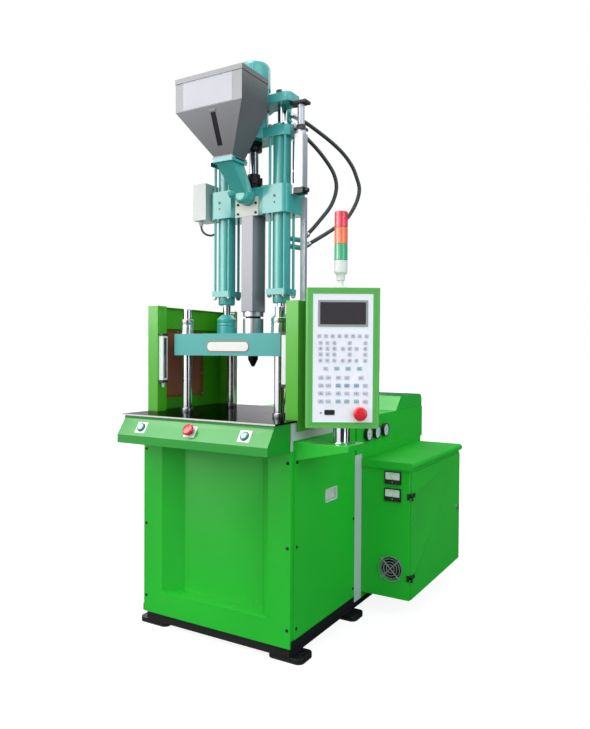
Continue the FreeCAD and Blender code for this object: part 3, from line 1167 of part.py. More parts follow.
def rear_box():
    """The sheet-metal box over the tank, with vents in the back and gauges on the right."""
    h, s = REAR_BOX_HALF, SHEET
    outer = block(-h, h, REAR_BOX_FRONT, REAR_BOX_REAR, TANK_TOP, REAR_BOX_TOP)
    inside = block(-h + s, h - s, REAR_BOX_FRONT + s, REAR_BOX_REAR - s, TANK_TOP - 1, REAR_BOX_TOP - s)
    well = block(-h + 20, h - 20, COVER_FRONT + 20, REAR_BOX_REAR - 20, REAR_BOX_TOP - s - 1, REAR_BOX_TOP + 1)
    shape = outer.cut(inside).cut(well)
    vents = []
    for i in range(8):
        x = -210 + 60 * i
        vents.append(block(x - 18, x + 18, REAR_BOX_REAR - s - 1, REAR_BOX_REAR + 1, TANK_TOP + 60, TANK_TOP + 68))
        vents.append(block(x - 18, x + 18, REAR_BOX_REAR - s - 1, REAR_BOX_REAR + 1, TANK_TOP + 85, TANK_TOP + 93))
    for y in GAUGE_YS:
        vents.append(bar(6, V(h - s - 1, y, GAUGE_Z), V(h + 1, y, GAUGE_Z)))
    return shape.cut(Part.makeCompound(vents))


def rear_cover():
    """The raised cover over the pump motor, with a sloping front and a rounded back."""
    def outline(inset):
        low = REAR_BOX_TOP - (1 if inset else 0)
        rise = REAR_COVER_TOP - REAR_BOX_TOP
        return [(COVER_FRONT + 1.4 * inset, low), (COVER_FRONT + rise + 0.4 * inset, REAR_COVER_TOP - inset),
                (COVER_REAR - inset, REAR_COVER_TOP - inset), (COVER_REAR - inset, low)]

    half = REAR_BOX_HALF - 6
    shape = rib(outline(0), -half, half)
    edge = [e for e in shape.Edges if e.BoundBox.YMin > COVER_REAR - 0.01 and e.BoundBox.ZMin > REAR_COVER_TOP - 0.01]
    shape = shape.makeFillet(REAR_COVER_ROUND, edge)
    inner = rib(outline(SHEET), -half + SHEET, half - SHEET)
    edge = [e for e in inner.Edges if e.BoundBox.YMin > COVER_REAR - SHEET - 0.01 and e.BoundBox.ZMin > REAR_COVER_TOP - SHEET - 0.01]
    return shape.cut(inner.makeFillet(REAR_COVER_ROUND - SHEET, edge))


def instrument_cases():
    """Three round pressure gauges on the rear box and two square meters on the cabinet."""
    cases = []
    face = REAR_BOX_HALF
    for y in GAUGE_YS:
        case = fused([bar(GAUGE_R - 4, V(face, y, GAUGE_Z), V(face + GAUGE_PROUD - 7, y, GAUGE_Z)),
                      bar(GAUGE_R, V(face + GAUGE_PROUD - 8, y, GAUGE_Z), V(face + GAUGE_PROUD, y, GAUGE_Z)),
                      bar(5, V(face - 14, y, GAUGE_Z), V(face, y, GAUGE_Z))])
        cases.append(case.cut(bar(GAUGE_R - 4, V(face + GAUGE_PROUD - 4, y, GAUGE_Z), V(face + GAUGE_PROUD + 1, y, GAUGE_Z))))
    for z in METER_ZS:
        x0, x1 = METER_X - METER_WIDTH / 2, METER_X + METER_WIDTH / 2
        case = block(x0, x1, CAB_FRONT - METER_PROUD, CAB_FRONT, z - METER_HEIGHT / 2, z + METER_HEIGHT / 2)
        window = block(x0 + 4, x1 - 4, CAB_FRONT - METER_PROUD - 1, CAB_FRONT - METER_PROUD + 2,
                       z - METER_HEIGHT / 2 + 18, z + METER_HEIGHT / 2 - 4)
        cases.append(case.cut(window))
    return Part.makeCompound(cases)


# ---- electrical cabinet ----
def cabinet():
    """The cabinet body with its rolled-edge lid, fan hole and hinge pins; the right side is the door's."""
    x0, s = REAR_POST_FACE, SHEET
    outer = block(x0, CAB_RIGHT, CAB_FRONT, CAB_REAR, CAB_BOTTOM, CAB_TOP)
    inside = block(x0 + s, CAB_RIGHT - s, CAB_FRONT + s, CAB_REAR - s, CAB_BOTTOM + s, CAB_TOP - s)
    lip = CAB_LIP
    mouth = block(CAB_RIGHT - s - 1, CAB_RIGHT + 1, CAB_FRONT + lip, CAB_REAR - lip, CAB_BOTTOM + lip, CAB_TOP - lip - 6)
    body = outer.cut(inside).cut(mouth)
    y0, y1 = CAB_FRONT - 6, CAB_REAR + 4
    roll_z = LID_TOP - LID_ROLL
    lid = block(x0, LID_ROLL_X, y0, y1, CAB_TOP, LID_TOP)
    lid = lid.cut(block(x0 + s, LID_ROLL_X - s, y0 + s, y1 - s, CAB_TOP - 1, LID_TOP - s))
    front_edge = [e for e in lid.Edges if abs(e.BoundBox.YMax - y0) < 0.01 and abs(e.BoundBox.ZMin - LID_TOP) < 0.01]
    lid = lid.makeFillet(SHEET * 0.9, front_edge)
    roll = bar(LID_ROLL, V(LID_ROLL_X, y0, roll_z), V(LID_ROLL_X, y1, roll_z))
    fan_hole = bar(FAN_BORE_R, V(FAN_X, CAB_FRONT - 1, FAN_Z), V(FAN_X, CAB_FRONT + s + 1, FAN_Z))
    pieces = [body.cut(fan_hole), lid, roll]
    for z in HINGE_ZS:
        low = z - HINGE_HEIGHT / 2
        third = HINGE_HEIGHT / 3
        pieces.append(rod(HINGE_R, low, low + third, HINGE_X, HINGE_Y))
        pieces.append(rod(HINGE_PIN_R, low, low + HINGE_HEIGHT, HINGE_X, HINGE_Y))
        pieces.append(block(CAB_RIGHT - 10, HINGE_X, CAB_FRONT - 2.5, CAB_FRONT, low, low + third))
    return fused(pieces)


def cabinet_door():
    """The door: a sheet with a stiffening rim inside and the upper hinge knuckles."""
    x0 = CAB_RIGHT + SLIDE_GAP
    x1 = x0 + DOOR_THICK + DOOR_GAP
    y0, y1 = HINGE_Y + HINGE_R + 1.5, CAB_REAR - DOOR_GAP
    z0, z1 = CAB_BOTTOM + DOOR_GAP, DOOR_TOP
    skin = block(x0, x1, y0, y1, z0, z1)
    inset = CAB_LIP + DOOR_RIB
    ribs = []
    for y in (y0 + inset, (y0 + y1) / 2, y1 - 6 * inset):
        outer = block(x0 - DOOR_RIB, x0, y, y + 2 * DOOR_RIB, z0 + inset, z1 - inset)
        ribs.append(outer.cut(block(x0 - DOOR_RIB + SHEET, x0, y + SHEET, y + 2 * DOOR_RIB - SHEET, z0 + inset - 1, z1 - inset + 1)))
    shape = fused([skin] + ribs)
    shape = shape.cut(bar(LOCK_R + FIT_GAP, V(x0 - 1, LOCK_Y, LOCK_Z), V(x1 + 1, LOCK_Y, LOCK_Z)))
    pieces = [shape]
    holes = []
    for z in HINGE_ZS:
        top = z + HINGE_HEIGHT / 2
        low = top - 2 * HINGE_HEIGHT / 3 + SLIDE_GAP
        pieces.append(rod(HINGE_R, low, top, HINGE_X, HINGE_Y))
        pieces.append(block(x1, HINGE_X, HINGE_Y, HINGE_Y + 34, low, top))
        holes.append(rod(HINGE_PIN_R + FIT_GAP, low - 1, top + 1, HINGE_X, HINGE_Y))
    return fused(pieces).cut(Part.makeCompound(holes))


def door_lock():
    """A quarter-turn lock: knob, spindle and inner cam, drawn unlocked."""
    x0 = CAB_RIGHT + SLIDE_GAP
    x1 = x0 + DOOR_THICK + DOOR_GAP
    cam_x = CAB_RIGHT - SHEET - 4
    knob = bar(LOCK_HEAD_R, V(x1, LOCK_Y, LOCK_Z), V(x1 + 5, LOCK_Y, LOCK_Z))
    wing = block(x1 + 5, x1 + 8, LOCK_Y - 3, LOCK_Y + 3, LOCK_Z - LOCK_HEAD_R + 2, LOCK_Z + LOCK_HEAD_R - 2)
    spindle = bar(LOCK_R, V(cam_x - 3, LOCK_Y, LOCK_Z), V(x1, LOCK_Y, LOCK_Z))
    cam = block(cam_x - 3, cam_x, LOCK_Y - 8, LOCK_Y + 8, LOCK_Z - 8, LOCK_Z + 30)
    return fused([knob, wing, spindle, cam])


def switchgear():
    """The mounting plate in the cabinet with its drive, contactors, transformer and terminals."""
    x0 = REAR_POST_FACE + SHEET
    face = x0 + GEAR_PLATE
    y0, y1 = CAB_FRONT + GEAR_INSET, CAB_REAR - GEAR_INSET
    z0, z1 = CAB_BOTTOM + GEAR_INSET, CAB_TOP - GEAR_INSET

    def device(size, y, z):
        out, along, up = size
        return block(face, face + out, y, y + along, z, z + up)

    left = y0 + GEAR_INSET
    top = z1 - GEAR_INSET / 2
    pitch = CONTACTOR[1] * 1.15
    pieces = [block(x0, face, y0, y1, z0, z1)]
    pieces += [device(CONTACTOR, left + pitch * i, top - CONTACTOR[2]) for i in range(CONTACTORS)]
    pieces.append(device(TRANSFORMER, left, (z0 + z1) / 2 - TRANSFORMER[2]))
    pieces.append(device(DRIVE_BOX, left + pitch * CONTACTORS + GEAR_INSET / 3, top - DRIVE_BOX[2]))
    pieces.append(device((TERMINAL_ROW, y1 - left - GEAR_INSET, TERMINAL_ROW), left, z0 + GEAR_INSET))
    return fused(pieces)


def fan_guard():
    """The cabinet fan's frame behind the sheet and the wire guard in front of it."""
    y0 = CAB_FRONT + SHEET
    frame = block(FAN_X - FAN_HALF, FAN_X + FAN_HALF, y0, y0 + FAN_DEPTH, FAN_Z - FAN_HALF, FAN_Z + FAN_HALF)
    frame = frame.cut(bar(FAN_BORE_R, V(FAN_X, y0 - 1, FAN_Z), V(FAN_X, y0 + FAN_DEPTH + 1, FAN_Z)))
    hub_plate = bar(FAN_HUB_R, V(FAN_X, y0 + FAN_DEPTH - 3, FAN_Z), V(FAN_X, y0 + FAN_DEPTH, FAN_Z))
    struts = []
    for i in range(3):
        strut = block(-4, 4, y0 + FAN_DEPTH - 3, y0 + FAN_DEPTH, 0, FAN_BORE_R + 2)
        strut.rotate(V(0, 0, 0), V(0, 1, 0), 120 * i + 40)
        strut.translate(V(FAN_X, 0, FAN_Z))
        struts.append(strut)
    pin = bar(HINGE_PIN_R, V(FAN_X, y0 + 4, FAN_Z), V(FAN_X, y0 + FAN_DEPTH, FAN_Z))
    frame = fused([frame, hub_plate, pin] + struts)
    rings = []
    y = CAB_FRONT - 4
    for radius in (16.0, 27.0, 38.0, 48.0):
        ring = bar(radius + 1.3, V(FAN_X, y - 1.3, FAN_Z), V(FAN_X, y + 1.3, FAN_Z))
        rings.append(ring.cut(bar(radius - 1.3, V(FAN_X, y - 2, FAN_Z), V(FAN_X, y + 2, FAN_Z))))
    for i in range(4):
        a = math.radians(90 * i + 45)
        end = V(FAN_X + 50 * math.cos(a), y, FAN_Z + 50 * math.sin(a))
        rings.append(bar(1.8, V(FAN_X, y, FAN_Z), end))
        rings.append(bar(4, V(end.x, CAB_FRONT, end.z), V(end.x, CAB_FRONT - 6, end.z)))
    return Part.makeCompound([frame, fused(rings)])


def fan_rotor():
    """The fan's hub and blades."""
    y0 = CAB_FRONT + SHEET + 3
    depth = FAN_DEPTH - 8
    pieces = [bar(FAN_HUB_R, V(FAN_X, y0, FAN_Z), V(FAN_X, y0 + depth, FAN_Z))]
    for i in range(FAN_BLADES):
        blade = Part.makeBox(1.6, depth - 2, FAN_TIP_R - FAN_HUB_R + 3, V(-0.8, -depth / 2 + 1, FAN_HUB_R - 3))
        blade.rotate(V(0, 0, 0), V(0, 0, 1), 42)
        blade.rotate(V(0, 0, 0), V(0, 1, 0), 360 / FAN_BLADES * i)
        blade.translate(V(FAN_X, y0 + depth / 2, FAN_Z))
        pieces.append(blade)
    bore = bar(HINGE_PIN_R + FIT_GAP, V(FAN_X, y0 - 1, FAN_Z), V(FAN_X, y0 + depth + 1, FAN_Z))
    return fused(pieces).cut(bore)


# ---- control panel ----
def panel_arm():
    """The tapered, downward-open arm that carries the pole."""
    x0 = SIDE_FACE
    outline = Part.makePolygon([V(x0, ARM_FRONT, ARM_ROOT_Z), V(ARM_TIP_X, ARM_FRONT, ARM_TIP_Z),
                                V(ARM_TIP_X, ARM_FRONT, ARM_TOP), V(x0, ARM_FRONT, ARM_TOP), V(x0, ARM_FRONT, ARM_ROOT_Z)])
    shape = Part.Face(outline).extrude(V(0, ARM_REAR - ARM_FRONT, 0))
    s = ARM_SHEET
    inside = block(x0 + s, ARM_TIP_X - s, ARM_FRONT + s, ARM_REAR - s, ARM_ROOT_Z - 1, ARM_TOP - s)
    return shape.cut(inside)


def panel_pole():
    """The post that the control panel swivels on."""
    z1 = PANEL_BOTTOM
    profile = [(0, ARM_TOP), (POLE_R + 6, ARM_TOP), (POLE_R + 6, ARM_TOP + 4), (POLE_R, ARM_TOP + 4),
               (POLE_R, z1 - SLIDE_GAP), (SHEET * 6, z1 - SLIDE_GAP), (SHEET * 6, z1 + 40), (0, z1 + 40)]
    return turned(profile, POLE_X, POLE_Y)


def on_panel(shape):
    """Carries a shape drawn about the pole, facing the front, to the panel's place."""
    shape.rotate(V(0, 0, 0), V(0, 0, 1), PANEL_TURN)
    shape.translate(V(POLE_X, POLE_Y, 0))
    return shape


def face_box(inset, y0, y1):
    """A box over the white face of the panel."""
    middle = PANEL_BOTTOM + PANEL_HEIGHT / 2
    half_w, half_h = FACE_WIDTH / 2 - inset, FACE_HEIGHT / 2 - inset
    return block(-half_w, half_w, y0, y1, middle - half_h, middle + half_h)


def panel_case():
    """The control panel's case, with a recess for its face and a swivel socket."""
    y0, y1 = -PANEL_DEPTH / 2, PANEL_DEPTH / 2
    half = PANEL_WIDTH / 2
    top = PANEL_BOTTOM + PANEL_HEIGHT
    shape = rounded_block(-half, half, y0, y1, PANEL_BOTTOM, top, PANEL_CORNER)
    inside = block(-half + 3, half - 3, y0 + 12, y1 - 3, PANEL_BOTTOM + 60, top - 3)
    recess = face_box(-HOLE_GAP, y0 - 1, y0 + FACE_RECESS)
    shape = shape.cut(inside).cut(recess)
    shape = shape.cut(rod(SHEET * 6 + FIT_GAP, PANEL_BOTTOM - 1, PANEL_BOTTOM + 41))
    shape = shape.cut(panel_stop_hole(y0))
    return on_panel(shape)


def panel_stop_hole(y0):
    return bar(BUTTON_R + SLIDE_GAP, V(PANEL_STOP_X, y0 - 5, PANEL_STOP_Z), V(PANEL_STOP_X, y0 + 26, PANEL_STOP_Z))


def keys():
    """Membrane keys as (centre x, centre z, width), from the top row down."""
    pad = [0.152, 0.26, 0.368]
    cross = [0.5, 0.606, 0.712]
    last = [0.85]
    pairs = [0.161, 0.277, 0.433, 0.567, 0.715, 0.854]
    narrow, wide = KEY, KEY * 1.35
    rows = [(0.329, [0.131 + 0.105 * i for i in range(8)], narrow), (0.382, pad + cross[1:2] + last, narrow),
            (0.426, pad + cross + last, narrow), (0.470, pad + cross[1:2] + last, narrow), (0.517, pad + cross + last, narrow),
            (0.579, [0.235, 0.408, 0.584, 0.76], wide), (0.649, pairs[:4] + [0.785], wide),
            (0.710, pairs, wide), (0.770, pairs, wide), (0.832, pairs, wide)]
    return [((across - 0.5) * FACE_WIDTH, FACE_BOTTOM + (1 - down) * FACE_HEIGHT, width)
            for down, row, width in rows for across in row]


def panel_overlay():
    """The front sheet of the panel: screen window, raised membrane keys and a data socket."""
    y0 = -PANEL_DEPTH / 2
    shape = face_box(0, y0, y0 + FACE_RECESS)
    top = FACE_BOTTOM + FACE_HEIGHT - SCREEN_TOP
    window = block(-SCREEN_WIDTH / 2, SCREEN_WIDTH / 2, y0 - 1, y0 + 1.2, top - SCREEN_HEIGHT, top)
    shape = shape.cut(window).cut(panel_stop_hole(y0))
    socket = block(SOCKET_X - SOCKET_WIDTH / 2, SOCKET_X + SOCKET_WIDTH / 2, y0 - 1, y0 + SOCKET_DEEP,
                   PANEL_STOP_Z - SOCKET_HEIGHT / 2, PANEL_STOP_Z + SOCKET_HEIGHT / 2)
    shape = shape.cut(socket)
    pads = [block(x - width / 2, x + width / 2, y0 - KEY_PROUD, y0, z - KEY / 2, z + KEY / 2) for x, z, width in keys()]
    return on_panel(fused([shape] + pads))


def panel_stop():
    """The emergency stop on the control panel."""
    y0 = -PANEL_DEPTH / 2
    return on_panel(mushroom(BUTTON_R, PANEL_STOP_R, STOP_TRAVEL, STOP_PROUD, 0,
                             (V(PANEL_STOP_X, y0, PANEL_STOP_Z), V(0, -1, 0))))


def light_tower():
    """The signal tower: flange, stem, base and three lenses."""
    z0 = PANEL_BOTTOM + PANEL_HEIGHT
    zs = [z0 + TOWER_STEM + step for step in TOWER_STEPS]
    r, stem = TOWER_R, TOWER_STEM_R
    profile = [(0, z0), (r, z0), (r, z0 + 5), (stem, z0 + 8), (stem, zs[0]), (stem + 5, zs[1] - 8), (r, zs[1]), (r, zs[2])]
    for z in zs[2:-1]:
        profile += [(r, z), (r - 1.5, z + 1), (r - 1.5, z + 3), (r, z + 4)]
    profile += [(r, zs[-1] - 3), (r - 3, zs[-1]), (0, zs[-1])]
    profile = [p for i, p in enumerate(profile) if i == 0 or p != profile[i - 1]]
    return on_panel(turned(profile, TOWER_X, 0))


# ---- export ----
def place(shape):
    shape = shape.copy()
    shape.translate(V(-ORIGIN_X, -ORIGIN_Y, 0))
    return shape


NODES = {
    "base_skid": base_skid, "frame_posts": frame_posts, "front_panel": front_panel, "side_panels": side_panels,
    "table_plate": table_plate, "bed_plate": bed_plate, "guide_bushes": guide_bushes, "console": console,
    "button_bezels": button_bezels, "guards": guards, "guard_windows": guard_windows,
    "light_curtains": light_curtains, "clamp_cylinder": clamp_cylinder, "oil_tank": oil_tank,
    "pump_motor": pump_motor, "rear_box": rear_box, "rear_cover": rear_cover,
    "instrument_cases": instrument_cases, "cabinet": cabinet, "switchgear": switchgear, "fan_guard": fan_guard,
    "panel_arm": panel_arm, "panel_pole": panel_pole, "fan_rotor": fan_rotor, "cabinet_door": cabinet_door,
    "door_lock": door_lock, "start_button_left": lambda: start_button(-1),
    "start_button_right": lambda: start_button(1), "console_stop": console_stop, "panel_case": panel_case,
    "panel_overlay": panel_overlay, "light_tower": light_tower, "panel_stop": panel_stop, "platen": platen,
    "tie_bars": tie_bars, "tie_bar_nuts": tie_bar_nuts, "lower_crosshead": lower_crosshead,
    "carriage_rods": carriage_rods, "rod_caps": rod_caps, "carriage_cylinders": carriage_cylinders,
    "cross_block": cross_block, "injection_cylinders": injection_cylinders, "barrel": barrel, "nozzle": nozzle,
    "heater_cover": heater_cover, "band_heaters": band_heaters, "hopper": hopper, "feed_chute": feed_chute,
    "junction_box": junction_box, "transducers": transducers, "crosshead": crosshead,
    "injection_rods": injection_rods, "drive_motor": drive_motor, "transducer_rod": transducer_rod,
    "screw": screw, "coupling": coupling, "hopper_lid": hopper_lid, "slide_gate": slide_gate,
    "hose_upper": lambda: hose(HOSE_UPPER), "hose_lower": lambda: hose(HOSE_LOWER),
}

os.makedirs("parts", exist_ok=True)
for name, make in NODES.items():
    shape = place(make())
    if not shape.isValid():
        print("not valid:", name)
    shape.exportStep(f"parts/{name}.step")
print("nodes", len(NODES), "origin", ORIGIN_X, ORIGIN_Y)
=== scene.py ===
# %% [markdown]
# # A vertical injection moulding machine, dressed for the camera
#
# The real machine is a green sheet-metal base with a ground table, a teal platen on four chromed tie
# bars, and an upright injection unit with a grey hopper. Its exact solids come from the frame, one per
# real piece. Here they get rounded edges, finishes and the small things that solids leave out: bolts,
# dials, keys, hoses and cables.

# %% Load the frame
import json
import math

import bmesh
import bpy
import numpy as np
from mathutils import Matrix, Vector

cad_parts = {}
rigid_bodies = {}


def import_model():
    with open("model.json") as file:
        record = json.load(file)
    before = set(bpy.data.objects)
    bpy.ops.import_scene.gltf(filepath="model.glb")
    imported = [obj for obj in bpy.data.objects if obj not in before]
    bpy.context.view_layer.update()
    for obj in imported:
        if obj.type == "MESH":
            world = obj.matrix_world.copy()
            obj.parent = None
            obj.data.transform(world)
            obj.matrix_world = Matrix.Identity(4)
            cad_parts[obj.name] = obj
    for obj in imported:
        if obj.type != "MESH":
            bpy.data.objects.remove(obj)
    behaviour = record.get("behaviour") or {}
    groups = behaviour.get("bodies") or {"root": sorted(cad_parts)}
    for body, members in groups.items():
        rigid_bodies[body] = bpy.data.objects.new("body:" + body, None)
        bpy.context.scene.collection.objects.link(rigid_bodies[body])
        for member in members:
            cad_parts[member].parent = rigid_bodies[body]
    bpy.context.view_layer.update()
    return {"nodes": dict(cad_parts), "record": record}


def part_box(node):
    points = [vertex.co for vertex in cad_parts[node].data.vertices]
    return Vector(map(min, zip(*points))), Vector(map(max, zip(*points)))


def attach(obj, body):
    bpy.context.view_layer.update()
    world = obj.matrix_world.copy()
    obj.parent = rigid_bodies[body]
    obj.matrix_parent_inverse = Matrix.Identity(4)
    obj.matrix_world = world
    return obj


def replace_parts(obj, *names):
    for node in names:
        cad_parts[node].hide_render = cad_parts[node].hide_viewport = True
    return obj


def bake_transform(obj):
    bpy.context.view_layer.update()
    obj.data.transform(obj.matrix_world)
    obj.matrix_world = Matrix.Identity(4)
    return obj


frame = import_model()
NODES = frame["nodes"]

# %% [markdown]
# ## One set of measures
#
# The drawing of such a machine is dimensioned in millimetres from the screw's axis and from the floor.
# The frame is in metres from another origin. Rather than convert by hand, one helper adds the screw
# axis, which is read from the screw's own box, so that every number below is one a fitter would know.

# %% Points in millimetres from the screw axis
def middle(node):
    """The middle of a node's box in plan, on the floor."""
    low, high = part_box(node)
    return np.array([(low.x + high.x) / 2, (low.y + high.y) / 2, 0.0])


AXIS, POLE = middle("screw"), middle("panel_pole")
PANEL_TURN = math.radians(30.5)
SIDES = ((-1, "left"), (1, "right"))
FRONT, BACK, UP = (0, -1, 0), (0, 1, 0), (0, 0, 1)


def at(points):
    """A point, or an array of points, in mm from the screw axis and the floor: mm / 1000 + axis."""
    return np.asarray(points, float) / 1000 + AXIS


def on_panel(points):
    """Points in mm from the pole's axis, x along the control panel's face, turned with the panel."""
    x, y, z = np.moveaxis(np.asarray(points, float) / 1000, -1, 0)
    c, s = math.cos(PANEL_TURN), math.sin(PANEL_TURN)
    return np.stack([c * x - s * y, s * x + c * y, z], -1) + POLE


print("screw axis at", AXIS.round(4), "pole axis at", POLE.round(4))

# %% [markdown]
# ## Camera
#
# The photograph is taken from the front right, a little over a metre from the floor. The camera could
# be aimed with a constraint, but a written place and three angles are exact and easy to check.

# %% Camera
CAMERA_PLACE = (1413.4, -2080.5, 1025.5)
CAMERA_TURNS = ((30.54, "Z"), (88.9, "X"), (0.36, "Z"))    # yaw, tilt and roll in degrees
LENS, SENSOR = 32.51, 36.0


def added(name, data):
    """A new object with its data, in the scene."""
    made = bpy.data.objects.new(name, data)
    bpy.context.scene.collection.objects.link(made)
    return made


camera = added("camera", bpy.data.cameras.new("camera"))
camera.data.lens, camera.data.sensor_width = LENS, SENSOR
stand = Matrix.Translation(Vector(at(CAMERA_PLACE)))
for degrees, axis in CAMERA_TURNS:
    stand = stand @ Matrix.Rotation(math.radians(degrees), 4, axis)
camera.matrix_world = stand
bpy.context.scene.camera = camera
print("camera", LENS, "mm lens")

# %% [markdown]
# ## Colours and shader arithmetic
#
# A finish is a few nodes: a pattern, some arithmetic on it, and the shader. Written node by node that
# is long and hard to read, so one class stands for a socket and turns `1 - mask * 0.2` into Math nodes,
# and one method makes any other node.

# %% A value that varies over a surface
def operation(name, reflected=False):
    """A method that makes a Math node of a value and another, or the other way round."""
    def method(self, other=0.0):
        first, second = (other, self) if reflected else (self, other)
        return self.tree.node("Math", {0: first, 1: second}, operation=name)

    return method


class Value:
    """A node's output. Arithmetic on it adds a Math node and gives that node's output."""

    def __init__(self, tree, socket):
        self.tree, self.socket = tree, socket

    __add__ = __radd__ = operation("ADD")
    __sub__, __rsub__ = operation("SUBTRACT"), operation("SUBTRACT", reflected=True)
    __mul__ = __rmul__ = operation("MULTIPLY")
    larger, wave = operation("MAXIMUM"), operation("SINE")


class Tree:
    """A node tree, with one method that adds any node."""

    def __init__(self, tree):
        self.nodes, self.links = tree.nodes, tree.links

    def feed(self, node, socket, value):
        """Links a varying value to a socket, or sets a constant on it."""
        if isinstance(value, Value):
            self.links.new(value.socket, node.inputs[socket])
        else:
            node.inputs[socket].default_value = value

    def node(self, kind, inputs=None, output=0, **settings):
        """A new node: its settings first, then its sockets. Gives one of its outputs."""
        node = self.nodes.new("ShaderNode" + kind)
        for key, value in settings.items():
            setattr(node, key, value)
        for socket, value in (inputs or {}).items():
            self.feed(node, socket, value)
        return Value(self, node.outputs[output])


# %% A finish and its nodes
def colour(*screen):
    """A screen colour, 11 to 255, as light: ((c / 255 + 0.055) / 1.055) to the power 2.4."""
    return (*[((c / 255 + 0.055) / 1.055) ** 2.4 for c in screen], 1.0)


class Finish(Tree):
    """A material: constants on its shader, and patterns for its varying values."""

    def __init__(self, **constants):
        self.material = bpy.data.materials.new("finish")
        self.material.use_nodes = True
        super().__init__(self.material.node_tree)
        self.shader = self.nodes["Principled BSDF"]
        self.set(**constants)

    def set(self, **sockets):
        """Base_Color=value sets or links the shader's Base Color socket."""
        for name, value in sockets.items():
            self.feed(self.shader, name.replace("_", " "), value)
        return self

    def mix(self, factor, first, second):
        return self.node("Mix", {0: factor, 6: first, 7: second}, 2, data_type="RGBA")

    def shaded(self, pattern, tone, share):
        """A screen colour, whose light a pattern of 1 multiplies by a share."""
        light = colour(*tone)
        return self.mix(pattern, light, (*[c * share for c in light[:3]], 1.0))

    def noise(self, scale, detail=2.0, stretch=(1, 1, 1)):
        """Noise with `scale` blotches to the metre, on Object coordinates times `stretch`."""
        spot = self.node("TexCoord", output="Object")
        spot = self.node("Mapping", {"Vector": spot, "Scale": stretch})
        return self.node("TexNoise", {"Vector": spot, "Scale": scale, "Detail": detail})

    def bump(self, height, depth):
        """Tilts the normal as a relief of a depth in mm would."""
        return self.set(Normal=self.node("Bump", {"Height": height, "Distance": depth / 1000}))


FINISHES = {}


def add_finishes(**made):
    """Names finishes and keeps them, so that pieces find them by name."""
    for name, finish in made.items():
        finish.material.name = name
    FINISHES.update(made)
    print("finishes:", ", ".join(made))


# %% [markdown]
# ## Enamel
#
# Sheet metal and castings are sprayed with gloss enamel. It dries with a faint orange peel a few
# millimetres across, and thicker coats look a little deeper. A flat colour would read as plastic, so a
# fine noise bends the normal and a broad one shifts colour and gloss by a few percent.

# %% Enamels
def enamel(tone, gloss=0.28, peel=0.03, depth=0.10, coat=0.25, shine=0.5):
    """Sprayed gloss enamel: fine noise for its orange peel, broad noise for tone and gloss."""
    finish = Finish(Coat_Roughness=0.12, Specular_IOR_Level=shine)
    broad, fine = finish.noise(3.0), finish.noise(420.0)
    finish.set(Base_Color=finish.shaded(broad, tone, 1 - 2 * depth),
               Roughness=gloss + broad * 0.10 + fine * 0.03, Coat_Weight=coat + broad * 0.1)
    return finish.bump(fine, peel)


add_finishes(
    green_paint=enamel((34, 187, 48), gloss=0.32, coat=0.06, shine=0.28),
    teal_paint=enamel((68, 176, 172), gloss=0.24, peel=0.05, depth=0.12, coat=0.36),
    # a lighter, yellower copy of the green paint for the control panel: painted light for the frontal light
    # and sheen on it
    panel_enamel=enamel((90, 182, 80), gloss=0.42),
    # a paler, yellower copy of the green paint for the guards: painted light for the stronger light on their
    # upper parts
    guard_enamel=enamel((74, 178, 26), shine=0.35),
    # a darker copy of the green paint for the console: painted shade, with more sheen on top
    console_enamel=enamel((22, 152, 42), shine=0.4),
    cover_enamel=enamel((20, 192, 54), gloss=0.2, coat=0.75),
    # a darker, matt copy of the teal paint for the platen: painted shade
    platen_enamel=enamel((56, 166, 162), gloss=0.42, peel=0.06, depth=0.12, coat=0.0),
    # near black and low in gloss, for the sight glass: painted shade for the hopper's inside
    dark_pane=enamel((34, 26, 40), gloss=0.22, coat=0.0, shine=0.1),
    black_paint=enamel((22, 22, 25), gloss=0.42, coat=0.0, shine=0.4),
    grey_paint=enamel((190, 196, 196), gloss=0.40, depth=0.05),
    motor_paint=enamel((92, 108, 116), gloss=0.42, peel=0.06),
)

# %% [markdown]
# ## Metals
#
# Ground plates and brushed sheets show fine lines in one direction; turned and chromed bars show
# rings round the axis. Both are one noise, squeezed hard along one axis, that varies the roughness and
# tilts the normal by a hair.

# %% Steels, chrome and brushed sheet
ROUND = (1, 1, 40)         # rings round an upright axis
ALONG_X = (0.6, 40, 40)
UPRIGHT = (40, 40, 0.8)


def lined_metal(tone, rough, stretch=ROUND, relief=0.004, spread=0.12, darker=0.85, metallic=1.0):
    """Metal with fine lines: noise drawn out along them varies its tone, roughness and relief."""
    finish = Finish(Metallic=metallic)
    lines, cloud = finish.noise(90.0, 3.0, stretch), finish.noise(6.0)
    finish.set(Base_Color=finish.shaded(lines * 0.6 + cloud * 0.4, tone, darker),
               Roughness=rough + lines * spread)
    return finish.bump(lines, relief)


add_finishes(
    table_steel=lined_metal((62, 60, 66), 0.10, stretch=ALONG_X, spread=0.08, darker=0.7),
    bright_steel=lined_metal((205, 206, 208), 0.22),
    chrome_bar=lined_metal((214, 216, 222), 0.09, stretch=UPRIGHT, relief=0.001, spread=0.05, darker=0.95),
    stainless_sheet=lined_metal((112, 112, 116), 0.26, stretch=UPRIGHT, darker=0.9, metallic=0.25),
    cover_sheet=lined_metal((122, 122, 128), 0.36, stretch=UPRIGHT, darker=0.82, metallic=0.55),
    anodised=lined_metal((206, 206, 214), 0.36, stretch=UPRIGHT, spread=0.06, metallic=0.6),
    dark_steel=lined_metal((66, 62, 64), 0.38, darker=0.6),
    heater_steel=lined_metal((196, 196, 206), 0.26, spread=0.2),
    bush_steel=lined_metal((138, 138, 146), 0.24),
    wire_zinc=lined_metal((160, 164, 172), 0.3, metallic=0.4),
    black_oxide=lined_metal((58, 58, 60), 0.42),
)
